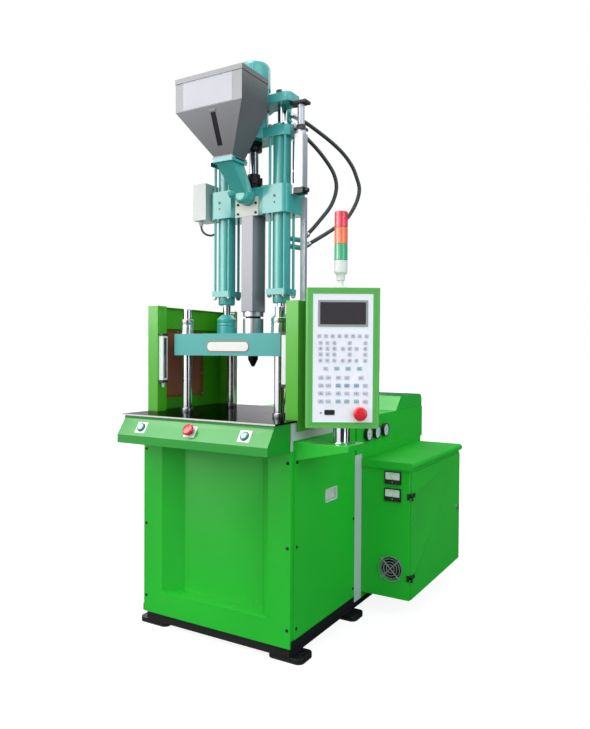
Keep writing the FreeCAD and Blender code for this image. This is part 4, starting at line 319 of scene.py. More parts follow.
FINISHES["table_steel"].set(Specular_Tint=(0.16, 0.155, 0.17, 1))

# %% [markdown]
# ## Plastics, rubber and glass
#
# Moulded parts have a soft satin grain; the tinted guard panes and the dial glasses let light through.
# Thin flat panes are made with Alpha rather than with refraction: they stay clear in a fast render, and
# a flat pane bends nothing that the eye would notice.

# %% Plastics
def moulded(tone, rough=0.4, grain=0.02, coat=0.0):
    """Moulded plastic: a fine even grain, and a tone that varies by a few percent."""
    finish = Finish(Coat_Weight=coat)
    fine, broad = finish.noise(900.0), finish.noise(8.0)
    finish.set(Base_Color=finish.shaded(broad, tone, 0.9), Roughness=rough + fine * 0.08)
    return finish.bump(fine, grain)


add_finishes(
    white_plastic=moulded((232, 234, 232), 0.36),
    keypad_film=moulded((244, 240, 252), 0.30, grain=0.008),
    black_plastic=moulded((30, 30, 32)),
    red_plastic=moulded((222, 30, 44), 0.24, grain=0.004, coat=0.5),
    start_plastic=moulded((158, 214, 214), 0.20, grain=0.004, coat=0.5),
    device_plastic=moulded((150, 152, 156), 0.5),
    screen_film=moulded((66, 60, 66), 0.10, grain=0.001, coat=0.6),
    dial_card=moulded((236, 238, 236), 0.5),
    gauge_card=moulded((206, 218, 228), 0.45),
    paper=moulded((204, 202, 214), 0.55),
    cream=moulded((214, 214, 206)),
    key_grey=moulded((196, 194, 212), 0.34),
    key_blue=moulded((150, 170, 204), 0.34),
    key_teal=moulded((156, 188, 192), 0.34),
    key_print=moulded((96, 100, 128), 0.45),
    ink=moulded((52, 56, 70), 0.45),
    red_trim=moulded((200, 40, 48), 0.35),
    ring_teal=moulded((38, 84, 84), 0.3),
    cup_grey=moulded((196, 204, 196)),
    cable_sheath=moulded((24, 24, 26), 0.45),
)


# %% Panes and lamp lenses
def pane(tone, clear, rough):
    """A thin tinted sheet that covers what is behind by 1 - clear, with faint rub marks."""
    finish = Finish(Coat_Weight=0.0)
    marks = finish.noise(30.0, 4.0)
    finish.set(Base_Color=finish.shaded(marks, tone, 0.8), Roughness=rough + marks * 0.08,
               Alpha=1 - clear + marks * 0.04)
    finish.material.surface_render_method = "BLENDED"
    return finish


def lens(tone, glow=0.12):
    """A coloured lamp lens: glossy plastic with a faint emission, a painted glow for light passing into it.
    """
    finish = Finish(Coat_Weight=0.6, Emission_Strength=glow)
    broad = finish.noise(20.0)
    body = finish.shaded(broad, tone, 0.75)
    return finish.set(Base_Color=body, Emission_Color=body, Roughness=0.16 + broad * 0.06)


# the lamp lenses glow faintly: painted light
add_finishes(brown_acrylic=pane((168, 82, 46), 0.10, 0.2), dial_glass=pane((235, 240, 240), 0.86, 0.03),
             lens_green=lens((70, 178, 130)), lens_amber=lens((250, 128, 84)), lens_red=lens((236, 64, 84)))


# %% Hose rubber
def braided_hose(rubber, worn, strands=10):
    """A braid under the hose's cover: two sets of slanting ridges, crossed, on the hose's own UV, painted
    lighter on top as a highlight.
    """
    finish = Finish(Coat_Weight=0.1)
    uv = finish.node("SeparateXYZ", {0: finish.node("TexCoord", output="UV")}).socket.node.outputs
    along, around = Value(finish, uv[0]), Value(finish, uv[1]) * strands
    turn = 2 * math.pi
    ridges = ((along + around) * turn).wave().larger(((along - around) * turn).wave()) * 0.5 + 0.5
    finish.set(Base_Color=finish.mix(ridges, colour(*rubber), colour(*worn)), Roughness=0.42 - ridges * 0.12)
    return finish.bump(ridges, 0.4)


# the lighter tone on the braid's ridges is a painted highlight
add_finishes(hose_rubber=braided_hose((16, 16, 18), (52, 54, 58)))

# %% [markdown]
# ## Meshes from arrays
#
# Bolts, rims, lenses and knobs are all turned on a lathe, so one grid serves them: rows are points of a
# profile, columns are steps round the axis. Adding primitives by operator would be shorter, but a grid
# keeps the profile readable, and a row can be six-sided, which gives hexagon heads and sockets for free.

# %% Grids and turned forms
def grid_faces(rows, columns):
    """Four corners for each cell of a grid whose last column joins the first."""
    r, c = np.meshgrid(np.arange(rows - 1) * columns, np.arange(columns), indexing="ij")
    after = (c + 1) % columns
    return np.stack([r + c, r + after, r + columns + after, r + columns + c], -1).reshape(-1, 4)


def angles(steps):
    return np.arange(steps) * 2 * math.pi / steps


def circle(radius, steps, start=0.0):
    """Points of a circle: radius (cos a, sin a), with a from `start`."""
    angle = angles(steps) + start
    return radius * np.stack([np.cos(angle), np.sin(angle)], -1)


def revolved(reach, height):
    """A grid of radii about the axis, with a height for each row: (r cos a, r sin a, height)."""
    steps = reach.shape[1]
    angle = angles(steps)
    points = np.stack([reach * np.cos(angle), reach * np.sin(angle), np.repeat(height, steps, 1)], -1)
    return points.reshape(-1, 3), grid_faces(len(reach), steps)


def rows_of(profile):
    """A profile as rows of radius, height and kind, which is 0 where it isn't given."""
    return np.array([(*row, 0)[:3] for row in profile], float)


def turned(profile, steps=24):
    """A profile of (radius, height) or (radius, height, 6) rows, turned about the axis.

    In a six-sided row, r / cos(angle to the nearest flat's middle) makes r half the width across flats."""
    rows = rows_of(profile)
    to_flat = (angles(steps) + math.pi / 6) % (math.pi / 3) - math.pi / 6
    return revolved(rows[:, :1] / np.where(rows[:, 2:] > 0, np.cos(to_flat), 1.0), rows[:, 1:2])


def slab(x0, x1, y0, y1, z0, z1):
    """A plain block: its eight corners and six faces."""
    x, y, z = np.meshgrid([x0, x1], [y0, y1], [z0, z1], indexing="ij")
    corners = np.stack([x, y, z], -1).reshape(-1, 3).astype(float)
    return corners, [[0, 1, 3, 2], [4, 6, 7, 5], [0, 4, 5, 1], [2, 3, 7, 6], [0, 2, 6, 4], [1, 5, 7, 3]]


# %% Shapes moved, aimed and joined
def unit(vectors):
    return vectors / np.linalg.norm(vectors, axis=-1, keepdims=True)


def moved(shape, offset):
    return shape[0] + np.array(offset), shape[1]


def aimed(shape, place, toward=UP, spin=0.0):
    """Turns a shape's axis to a direction and moves it: point = place + x side + y up + z direction."""
    points, faces = shape
    z = unit(np.array(toward, float))
    x = unit(np.cross(UP if abs(z[2]) < 0.9 else (1, 0, 0), z))
    y = np.cross(z, x)
    c, s = math.cos(spin), math.sin(spin)
    x, y = c * x + s * y, c * y - s * x
    return points @ np.stack([x, y, z]) + np.asarray(place, float), faces


def joined(shapes):
    """Several shapes as one: the faces of each are moved on by the points before it."""
    points, faces, start = [], [], 0
    for corners, cells in shapes:
        points.append(corners)
        faces += [[int(i) + start for i in face] for face in cells]
        start += len(corners)
    return np.concatenate(points), faces


# %% Pieces from shapes
def mesh_of(name, points, faces):
    mesh = bpy.data.meshes.new(name)
    mesh.from_pydata(np.asarray(points).tolist(), [], [list(map(int, face)) for face in faces])
    return mesh


def cleaned(mesh, weld=1e-6, flat_to=None):
    """Joins doubles, then merges triangles flat to an angle, or else turns all faces outwards."""
    work = bmesh.new()
    work.from_mesh(mesh)
    bmesh.ops.remove_doubles(work, verts=work.verts, dist=weld)
    if flat_to:
        bmesh.ops.dissolve_limit(work, angle_limit=flat_to, verts=work.verts, edges=work.edges)
    else:
        bmesh.ops.recalc_face_normals(work, faces=work.faces)
    work.to_mesh(mesh)
    work.free()
    return mesh


def linked(name, mesh, finish):
    """A smooth object in the scene, in one finish."""
    mesh.materials.clear()
    mesh.materials.append(FINISHES[finish].material)
    mesh.shade_smooth()
    return added(name, mesh)


def dressed(name, mesh, body, slot, finish, edge, sharp):
    """A mesh as a piece of a body, in its slot's or its own finish, with its sharp edges bevelled."""
    made = linked(name, mesh, finish or slot)
    mesh.set_sharp_from_angle(angle=math.radians(sharp))
    if edge:
        bevel = made.modifiers.new("edges", "BEVEL")
        bevel.width, bevel.segments, bevel.harden_normals = edge / 1000, 2, True
        bevel.limit_method, bevel.angle_limit = "ANGLE", math.radians(sharp)
    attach(made, body)
    return made


def piece(name, shape, body, slot, finish=None, edge=0.0, sharp=35, laid=at):
    """A piece from a shape in mm, with its edges rounded by `edge` mm."""
    mesh = cleaned(mesh_of(name, laid(shape[0]), shape[1]))
    return dressed(name, mesh, body, slot, finish, edge, sharp)


print("helpers ready")

# %% [markdown]
# ## Rounded copies of the solids
#
# Folded sheet and milled plate never have knife edges: the light catches a radius of a millimetre or
# so. The frame's solids are exact and sharp. A copy of each solid's mesh, with its corners joined and
# its flat triangles merged, takes a Bevel modifier, and that copy stands for the solid.

# %% Rounded copies
SLOT_OF = {part["node"]: part["material_slot"] for part in frame["record"]["subparts"]}
BODY_OF = {node: body for body, nodes in frame["record"]["behaviour"]["bodies"].items() for node in nodes}
# The panel, guard and console finishes are lighter and darker copies of the green paint: painted light and
# painted shade.
OWN_FINISH = dict(panel_case="panel_enamel", guards="guard_enamel", console="console_enamel",
                  # the platen's finish is a darker copy of the teal paint: painted shade
                  platen="platen_enamel", rear_cover="cover_enamel", guide_bushes="bush_steel",
                  fan_guard="wire_zinc")


def softened(node, edge, sharp=32):
    """A copy of a node's mesh: doubles joined, flat triangles merged, edges rounded by `edge` mm."""
    mesh = cleaned(NODES[node].data.copy(), 2e-6, math.radians(0.6))
    made = dressed(node + "_finished", mesh, BODY_OF[node], SLOT_OF[node], OWN_FINISH.get(node), edge, sharp)
    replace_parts(made, node)


EDGES = dict(front_panel=1.4, side_panels=1.2, console=1.4, guards=0.9, rear_box=1.2, rear_cover=0.9,
             cabinet=1.2, cabinet_door=1.0, panel_arm=1.4, panel_case=1.6, table_plate=0.8, bed_plate=1.0,
             platen=1.6, cross_block=2.0, crosshead=1.4, injection_cylinders=1.0, carriage_cylinders=1.0,
             rod_caps=0.8, drive_motor=1.4, feed_chute=1.2, hopper=0.8, hopper_lid=0.7, junction_box=1.0,
             heater_cover=0.6, transducers=0.7, transducer_rod=0.6, base_skid=1.6, frame_posts=1.5,
             light_curtains=0.8, instrument_cases=0.9, tie_bar_nuts=0.5, barrel=0.7, nozzle=0.5,
             band_heaters=0.4, coupling=0.6, slide_gate=0.4, guide_bushes=0.4, button_bezels=0.7,
             fan_guard=0.3, panel_pole=0.8, door_lock=0.5, lower_crosshead=1.6, clamp_cylinder=1.2,
             oil_tank=1.0, pump_motor=1.2, switchgear=1.0, injection_rods=0.6, panel_overlay=0.2,
             guard_windows=0.3, fan_rotor=0.3, start_button_left=0.8, start_button_right=0.8,
             console_stop=0.6, panel_stop=0.6)
for node, edge in EDGES.items():
    softened(node, edge)
for node in ("tie_bars", "carriage_rods", "screw"):
    softened(node, 0.4, sharp=28)
print("edges rounded")

# %% [markdown]
# ## Hydraulic hoses
#
# Two hoses carry oil from the carriage's cylinder to the injection motor. They are free between their
# fittings and bend as the motor goes down. A curve object could be given a round bevel; here a tube mesh
# is swept along the route's own smooth spline, and stays where it is laid, on neither body.

# %% A tube along a route
def spline_points(route, steps=12):
    """Points along the NURBS spline whose control points are the route's."""
    curve = bpy.data.curves.new("route", "CURVE")
    curve.dimensions, curve.resolution_u = "3D", steps
    spline = curve.splines.new("NURBS")
    spline.points.add(len(route) - 1)
    spline.points.foreach_set("co", np.hstack([at(route), np.ones((len(route), 1))]).ravel())
    spline.order_u, spline.use_endpoint_u = 3, True
    holder = bpy.data.objects.new("route", curve)
    mesh = bpy.data.meshes.new_from_object(holder)
    path = np.array([v.co for v in mesh.vertices])
    bpy.data.batch_remove((holder, curve, mesh))
    return path


def swept(path, radius, steps):
    """A tube whose rings are path + radius (cos a side + sin a up), square to the path."""
    along = unit(np.gradient(path, axis=0))
    span = path[-1] - path[0]
    leans = np.linalg.norm(span[:2]) > 0.3 * abs(span[2])
    side = np.cross(span, UP) if leans else np.cross(path[len(path) // 2] - path[0], span)
    side = unit(side - along * (along @ side)[:, None])
    up = np.cross(along, side)
    across, over = (part[:, None] for part in circle(radius, steps).T)
    rings = path[:, None] + across * side[:, None] + over * up[:, None]
    points = np.concatenate([path[:1], rings.reshape(-1, 3), path[-1:]])
    end, last = len(points) - 1, len(points) - 1 - steps
    pairs = [(i, (i + 1) % steps) for i in range(steps)]
    caps = [[0, 1 + b, 1 + a] for a, b in pairs] + [[end, last + a, last + b] for a, b in pairs]
    return points, (grid_faces(len(path), steps)[:, ::-1] + 1).tolist() + caps


def distances(path):
    """How far each point is along its path."""
    return np.concatenate([[0], np.cumsum(np.linalg.norm(np.diff(path, axis=0), axis=1))])


def lay_uv(mesh, path, steps, pitch=0.012):
    """UV of a tube: u counts the braid's pitch along it, and v goes once round."""
    corners = np.empty(len(mesh.loops), np.int32)
    mesh.loops.foreach_get("vertex_index", corners)
    ring, column = np.divmod(corners - 1, steps)
    uv = np.stack([distances(path)[ring.clip(0, len(path) - 1)] / pitch, column / steps], -1)
    walls = uv[:4 * (len(path) - 1) * steps].reshape(-1, 4, 2)
    across_seam = walls[..., 1].max(1, keepdims=True) - walls[..., 1] > 0.5
    walls[across_seam, 1] += 1
    mesh.uv_layers.new(name="UVMap").data.foreach_set("uv", uv.ravel())


def free_line(name, route, radius, body=None, bend=None, node=None,
              finish="cable_sheath", steps=12):
    """A hose or cable along its spline, on a body, or with `bend` left in place on neither body; it hides its
    solid.
    """
    path = spline_points(route)
    mesh = mesh_of(name, *swept(path, radius / 1000, steps))
    lay_uv(mesh, path, steps)
    made = linked(name, mesh, finish)
    if bend:
        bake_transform(made)
    else:
        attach(made, body)
    if node:
        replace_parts(made, node)
    print(name, "measures", distances(path)[-1].round(4), "m")


# %% Hoses
HOSE_R = 7.5
HOSE_UPPER = [(126, 74, 1920), (159, 110, 1901), (194, 149, 1870), (229, 189, 1838), (266, 229, 1795),
              (291, 257, 1748), (301, 269, 1711), (311, 280, 1669), (306, 274, 1626), (292, 258, 1581),
              (273, 237, 1540), (234, 194, 1498), (196, 151, 1461), (160, 112, 1429)]
HOSE_LOWER = [(127, 75, 1884), (147, 97, 1861), (168, 121, 1834), (194, 150, 1800), (219, 177, 1758),
              (238, 199, 1718), (247, 208, 1673), (242, 202, 1626), (228, 187, 1582), (206, 163, 1542),
              (179, 133, 1493), (158, 109, 1461)]
for name, route, length in (("hose_upper", HOSE_UPPER, 0.732), ("hose_lower", HOSE_LOWER, 0.538)):
    free_line(name + "_line", route, HOSE_R, bend=("carriage", "injector"),
              node=name, finish="hose_rubber", steps=20)

# %% Ferrules and swivel nuts
FERRULE = [(0, 0), (8.5, 0), (10.2, 1.5), (10.2, 6), (9.6, 7), (10.2, 8), (10.2, 13), (9.6, 14), (10.2, 15),
           (10.2, 22), (8.6, 26), (0, 26)]
SWIVEL = [(0, -13), (9, -13, 6), (10.4, -11.6, 6), (10.4, -1.4, 6), (9, 0, 6), (0, 0)]


def fitting(end, inside):
    """A crimped ferrule over the hose's end and a swivel nut behind it, along the route's end run."""
    return [aimed(turned(profile), end, np.subtract(inside, end)) for profile in (FERRULE, SWIVEL)]


for body, end, inside in (("injector", 0, 1), ("carriage", -1, -2)):
    shapes = [part for route in (HOSE_UPPER, HOSE_LOWER) for part in fitting(route[end], route[inside])]
    piece("hose_fittings_" + body, joined(shapes), body, "bright_steel")
print("fittings on both ends")

# %% [markdown]
# ## Fasteners
#
# Socket-head and pan-head screws hold nearly everything. One shape of each kind is placed at every
# hole, and all that ride on one body and share a finish are one mesh, which keeps the list of pieces
# short and each screw only a few dozen faces.

# %% Screw heads
# A kind: its head in shares of its radius, how far it is sunk, its steps
CAP = [(1, 0.85), (0.88, 1), (0.56, 1), (0.5, 0.96, 6), (0.5, 0.35, 6), (0, 0.3)], 1, 18
PAN = [(1, 0.22), (0.86, 0.42), (0.5, 0.54), (0.3, 0.54), (0.24, 0.2), (0, 0.2)], 0.6, 14


def screw(kind, radius):
    """A screw seated at height 0: CAP has a six-sided socket, PAN is a dome with a round recess."""
    head, sunk, steps = kind
    head = [(r * radius, height * radius, *sides) for r, height, *sides in head]
    return turned([(0, -sunk), (radius, -sunk)] + head, steps)


def fasteners(name, shape, places, toward, body="base", slot="black_paint", finish="black_oxide"):
    """The same screw at every place, facing one way, each turned on a little from the last."""
    piece(name, joined([aimed(shape, place, toward, spin=0.7 * i) for i, place in enumerate(places)]),
          body, slot, finish)


# %% Panel screws
PANEL_SCREW, BACK_SCREW = screw(PAN, 5.5), screw(PAN, 4.5)
SIDE_FACE, FRONT_FACE = 325.5, -249.0
SCREW_HEIGHTS = (112, 383, 662)
for side, name in SIDES:
    fasteners("side_panel_screws_" + name, PANEL_SCREW,
              [(side * SIDE_FACE, y, z) for y in (-219, 214) for z in SCREW_HEIGHTS], (side, 0, 0))
fasteners("front_panel_screws", PANEL_SCREW, [(x, FRONT_FACE, z) for x in (-308, 308) for z in SCREW_HEIGHTS],
          FRONT)
print("panel screws placed")

# %% [markdown]
# ## Blind holes, nuts and rivets
#
# The cross block has two tapped holes in each front face, the cylinders are held by tie rods with nuts,
# and the guards' panes by rivets. A blind hole seen from outside is a dark disc with a chamfer ring, so
# it is laid on the face: cutting the mesh would need a Boolean for something that never opens. The disc
# is a shallow black dish, painted shade for the depth of the hole.

# %% Holes, nuts and rivets
def blind_hole(radius):
    """A countersunk hole's mouth: a cone ring that falls to a shallow floor, laid on the face; black, it is
    painted shade.
    """
    return turned([(radius * 1.25, 0), (radius * 1.2, 0.25), (radius, 0.1), (0, 0.08)], 20)


BLOCK_FACE = -50
holes = [aimed(blind_hole(radius), (x, BLOCK_FACE, z), FRONT)
         for x in (-124, 124) for z, radius in ((1593, 4.6), (1570, 3.2))]
# the holes are black: painted shade for their depth
piece("block_holes", joined(holes), "carriage", "black_paint", "black_plastic", sharp=60)

CYLINDER_X, TIE_ROD = 125, 32
CORNERS = [(x + dx, y) for x in (-CYLINDER_X, CYLINDER_X) for dx in (-TIE_ROD, TIE_ROD)
           for y in (-TIE_ROD, TIE_ROD)]
NUT = turned([(0, -0.5), (7.5, -0.5, 6), (7.5, 6.5, 6), (6.975, 8, 6), (4, 8), (4, 9.5), (3.2, 11), (0, 11)])
nuts = [aimed(NUT, (*corner, z), (0, 0, way), spin * i)
        for z, way, spin in ((1850, 1, 0.3), (1235, -1, 0.4)) for i, corner in enumerate(CORNERS)]
piece("tie_rod_nuts", joined(nuts), "carriage", "bright_steel")

RIM_Y, RIM_Z = (-137, 97), (849, 1101)
RIM_SPOTS = ([(y, z) for y in np.linspace(*RIM_Y, 4) for z in RIM_Z]
             + [(y, z) for y in RIM_Y for z in np.linspace(*RIM_Z, 4)[1:-1]])
rivets = [aimed(screw(PAN, 4.2), (side * face, y, z), (side * way, 0, 0))
          for side, _ in SIDES for face, way in ((323, -1), (328, 1)) for y, z in RIM_SPOTS]
piece("window_rivets", joined(rivets), "base", "bright_steel")
fasteners("rear_box_screws", BACK_SCREW, [(x, 980, 640) for x in (-300, 0, 300)], BACK)
fasteners("cabinet_screws", BACK_SCREW, [(x, 920, z) for x in (340, 512) for z in (92, 330, 562)], BACK)
print("holes, nuts, rivets")

# %% [markdown]
# ## Plates and frames
#
# Badges, sheets, legend plates and window borders are thin flat things with rounded corners. One
# outline with arcs serves them all: extruded it is a plate, and with a second outline inside it is a
# frame. They are laid on the faces that carry them and left without any words.

# %% Flat plates
def rounded(width, height, radius, steps=6):
    """A rounded rectangle about 0, 0: each corner's centre plus radius (cos a, sin a)."""
    angle = (np.arange(4)[:, None] + np.arange(steps) / (steps - 1)) * math.pi / 2
    signs = np.array([(1, 1), (-1, 1), (-1, -1), (1, -1)])[:, None]
    centre = signs * (np.array([width, height]) / 2 - radius)
    return (centre + radius * np.stack([np.cos(angle), np.sin(angle)], -1)).reshape(-1, 2)


def standing(outline, y):
    """An outline in x, z as points at one y."""
    return np.insert(np.asarray(outline, float), 1, y, axis=1)


def plate(outline, thick, base=0.0):
    """An outline in x, z drawn out from y = -base to y = -base - thick."""
    count = len(outline)
    points = np.concatenate([standing(outline, -base), standing(outline, -base - thick)])
    ends = [list(range(count)), list(range(2 * count - 1, count - 1, -1))]
    return points, grid_faces(2, count).tolist() + ends


def border(outer, inner, thick, base=0.0):
    """A flat frame between two outlines that have the same number of points."""
    rows = (outer, 0), (outer, thick), (inner, thick), (inner, 0), (outer, 0)
    return np.concatenate([standing(loop, -base - out) for loop, out in rows]), grid_faces(5, len(outer))


def set_at(place, right=(1, 0, 0), up=UP):
    """Lays a plate at a place: point = place + x right + y inwards + z up."""
    axes = np.array([right, np.cross(up, right), up], float)
    return lambda points: at(np.asarray(points) @ axes + np.array(place, float))


# %% Badge, sheet and feed plate
on_badge = set_at((12.5, -180, 1043))
piece("platen_badge_border", plate(rounded(185, 37, 18.4, 9), 1.6), "platen", "red_plastic", "red_trim",
      edge=0.5, laid=on_badge)
piece("platen_badge", plate(rounded(180, 32, 15.9, 9), 2.2), "platen", "white_plastic", "dial_card",
      edge=0.4, laid=on_badge)
piece("hopper_sheet", plate(rounded(216, 104, 1), 0.5), "carriage", "white_plastic", "paper",
      laid=set_at((-46, -229, 1944)))

FEED_LEFT, FEED_RIGHT, FEED_FOOT, FEED_TOP, COLLAR_R = -56, 47, 1532, 1602, 32
arc = np.linspace(0, -math.pi, 17)
notch = np.stack([COLLAR_R * np.cos(arc), FEED_TOP + COLLAR_R * np.sin(arc)], -1)
outline = np.concatenate([[(FEED_LEFT, FEED_FOOT), (FEED_RIGHT, FEED_FOOT), (FEED_RIGHT, FEED_TOP)], notch,
                          [(FEED_LEFT, FEED_TOP)]])
piece("feed_plate", plate(outline, 4), "carriage", "white_plastic", "cream", edge=0.6,
      laid=set_at((0, -36, 0)))
fasteners("feed_plate_screws", screw(CAP, 4.6), [(x, -40, z) for x in (-44, 36) for z in (1543, 1578)],
          FRONT, "carriage")
print("plates laid")

# %% [markdown]
# ## Stroke transducer
#
# A bright tube slides into a pale extruded body with black ends. The tube's sheath is a thin turned
# sleeve round the solid rod, so that the rod's black bracket can stay as it is.

# %% Transducer ends and sheath
ROD_X, BODY_SIDE = 205, 39.2
SHEATH = [(0, 1845), (13.15, 1845), (13.15, 1921), (0, 1921)]
SEAL = [(13.9, 1836.5), (17.5, 1836.5), (17.5, 1846), (16.5, 1848), (13.9, 1848), (13.9, 1836.5)]
PLUG = [(0, 0), (9, 0), (9, 12), (7, 14), (0, 14)]

piece("transducer_sheath", aimed(turned(SHEATH, 32), (ROD_X, 0, 0)), "injector", "anodised", sharp=40)
collar = border(rounded(BODY_SIDE, BODY_SIDE, 1), rounded(27.8, 27.8, 13.9), 9.2, base=1828)
left, right = ROD_X - BODY_SIDE / 2, ROD_X + BODY_SIDE / 2
ends = [aimed(turned(SEAL, 32), (ROD_X, 0, 0)), aimed(collar, (ROD_X, 0, 0), BACK, math.pi),
        slab(left, right, -BODY_SIDE / 2, BODY_SIDE / 2, 1599.6, 1622),
        aimed(turned(PLUG, 24), (right, 0, 1611), (1, 0, 0))]
piece("transducer_ends", joined(ends), "carriage", "black_plastic", edge=0.8, sharp=40)
fasteners("transducer_clips", screw(CAP, 4), [(183, -19.8, z) for z in (1680, 1790)], FRONT, "carriage",
          "bright_steel", "bright_steel")
print("transducer dressed")

# %% [markdown]
# ## The hopper's sight glass
#
# A long slot in the sloping front shows how much material is left. Behind it is a dark pane, opaque and
# near black: painted shade for the hopper's inside seen through the glass. Above it is a bright clip. The
# pane is laid in the slope's plane, whose rise and run are those of the cone.

# %% Sight glass
CONE_RUN = 68 / 167
CONE_FOOT_Y, CONE_FOOT_Z = -161, 1722


def on_cone(z):
    """Lays a plate on the cone's front slope at a height, in the middle of the slot."""
    steep = math.hypot(1, CONE_RUN)
    y = CONE_FOOT_Y - CONE_RUN * (z - CONE_FOOT_Z)
    return set_at((-26.1, y, z), up=(0, -CONE_RUN / steep, 1 / steep))


# the pane is opaque and near black: painted shade for the hopper's inside seen through the slot
piece("sight_glass", plate(rounded(23, 116, 2), 1.2, base=-3.2), "carriage", "black_plastic", "dark_pane",
      laid=on_cone(1815))
piece("sight_clip", plate(rounded(30, 7, 1), 2.4), "carriage", "cover_sheet", edge=0.5, laid=on_cone(1874))
print("sight glass set")

# %% [markdown]
# ## Signal tower
#
# Three screw-together lamps on a pale base. Each lens has upright prisms inside, which show as fine
# flutes. They are turned like the rest, with the radius waved round the axis; a bump would do from
# afar, but the flutes also break up the outline.

# %% Signal tower
def fluted(profile, flutes=20, depth=0.5, steps=120):
    """A turned form: in rows whose third value is 1, r is less by depth (1 + cos(flutes a)) / 2."""
    rows = rows_of(profile)
    dip = depth * (1 + np.cos(flutes * angles(steps))) / 2
    return revolved(rows[:, :1] - dip * rows[:, 2:], rows[:, 1:2])


TOWER_X = -6.0
TOWER_BASE = [(0, 1231), (20.5, 1231), (21.5, 1232), (21.5, 1235), (20.5, 1236), (10, 1238.5), (9, 1240),
              (9, 1256), (12, 1256.5), (13.5, 1258), (14, 1273), (15, 1275), (20.5, 1281), (21.5, 1282.5),
              (21.5, 1285), (20.9, 1285.4), (20.9, 1286.4), (21.5, 1286.8), (21.5, 1320.6), (0, 1320.6)]
FLAT_TOP = [(20.2, 52.4), (0, 52.4)]
DOMED_TOP = [(20, 51.2), (17, 52.4), (6, 53), (0, 53)]
base = moved(turned(TOWER_BASE, 48), (TOWER_X, 0, 0))
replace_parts(piece("tower_base", base, "panel", "white_plastic", sharp=40, laid=on_panel), "light_tower")
for name, z, fluted_to, top in (("green", 1321, 50.4, FLAT_TOP), ("amber", 1374, 50.4, FLAT_TOP),
                                ("red", 1427, 48, DOMED_TOP)):
    profile = [(0, 0), (20.2, 0), (20.2, 1.4), (21.5, 1.8), (21.5, 3.5, 1), (21.5, fluted_to, 1),
               (21.3, fluted_to + 1.2), *top]
    piece("tower_lens_" + name, moved(fluted(profile), (TOWER_X, 0, z)), "panel", "white_plastic",
          "lens_" + name, sharp=50, laid=on_panel)
print("signal tower")

# %% [markdown]
# ## Control panel
#
# The face is a printed film with a screen behind a window and rows of membrane keys, each a low dome
# under the film. The keys are separate caps here, with a small generic mark on each, so that they catch
# light on their edges as the pressed film does. The rows are a table of shares of the face's size.

# %% Screen, lamp and socket
FACE_W, FACE_H = 205.0, 415.0
FACE_Y, FACE_FOOT = -35.0, 799.0


def face_piece(name, shape, slot, finish=None, x=0.0, z=0.0, **look):
    """A piece on the control panel's face, at x from its middle and z up from its lower edge."""
    piece(name, moved(shape, (x, FACE_Y, FACE_FOOT + z)), "panel", slot, finish, laid=on_panel, **look)


SCREEN_W, SCREEN_H, SCREEN_Z = 0.75 * FACE_W, 0.19 * FACE_H, 0.843 * FACE_H
SOCKET_X, SOCKET_Z = -0.2 * FACE_W, 0.082 * FACE_H
LAMP = [(0, -1), (3.4, -1), (3.4, 0.6), (2.6, 1.2), (2.2, 1.9), (0, 2.3)]
# the lip takes the panel's lighter copy of the green paint: painted light
face_piece("panel_lip", border(rounded(FACE_W + 3, FACE_H + 3, 2), rounded(FACE_W - 13, FACE_H - 5, 2), 1.3),
           "green_paint", "panel_enamel", z=FACE_H / 2, edge=0.5)
face_piece("screen_border",
           border(rounded(SCREEN_W + 6, SCREEN_H + 6, 3), rounded(SCREEN_W - 8, SCREEN_H - 8, 1.5), 1.4),
           "device_plastic", z=SCREEN_Z, edge=0.4)
face_piece("screen_glass", plate(rounded(SCREEN_W - 4, SCREEN_H - 4, 1.5), 0.7), "black_plastic",
           "screen_film", z=SCREEN_Z)
face_piece("panel_lamp", aimed(turned(LAMP, 20), (0, 0, 0), FRONT), "device_plastic", x=SOCKET_X - 28,
           z=0.078 * FACE_H, sharp=50)
face_piece("panel_socket", joined([border(rounded(33, 16, 2.5), rounded(28, 11, 1.5), 1.2),
                                   plate(rounded(29, 12, 1), 0.3)]),
           "black_plastic", x=SOCKET_X, z=SOCKET_Z, edge=0.3)
print("screen, lamp and socket")

# %% Keys
LONG, SHORT = [0.152, 0.26, 0.368, 0.5, 0.606, 0.712, 0.85], [0.152, 0.26, 0.368, 0.606, 0.85]
PAIRS = [0.161, 0.277, 0.433, 0.567, 0.715, 0.854]
KEY_ROWS = [(0.329, [0.131 + 0.105 * i for i in range(8)], "grey"), (0.382, SHORT, "grey"),
            (0.426, LONG, "grey"), (0.470, SHORT, "grey"), (0.517, LONG, "grey"),
            (0.579, [0.235, 0.408, 0.584, 0.76], "teal"), (0.649, PAIRS[:4] + [0.785], "grey"),
            (0.710, PAIRS, "blue"), (0.770, PAIRS, "grey"), (0.832, PAIRS, "teal")]
NARROW_ROWS, NARROW, WIDE = 5, 12.0, 16.2
KEY_TALL, KEY_OUT = 12.0, 1.5


def key_cap(wide):
    """A low pillow: three outlines, each smaller and further out, closed by a flat top."""
    loops = [standing(rounded(wide + more, KEY_TALL + more, radius), -out)
             for more, radius, out in ((0.5, 2.0, 0), (0.3, 1.9, 1.1), (-1.2, 1.4, KEY_OUT))]
    count = len(loops[0])
    return np.concatenate(loops), grid_faces(3, count).tolist() + [list(range(2 * count, 3 * count))]


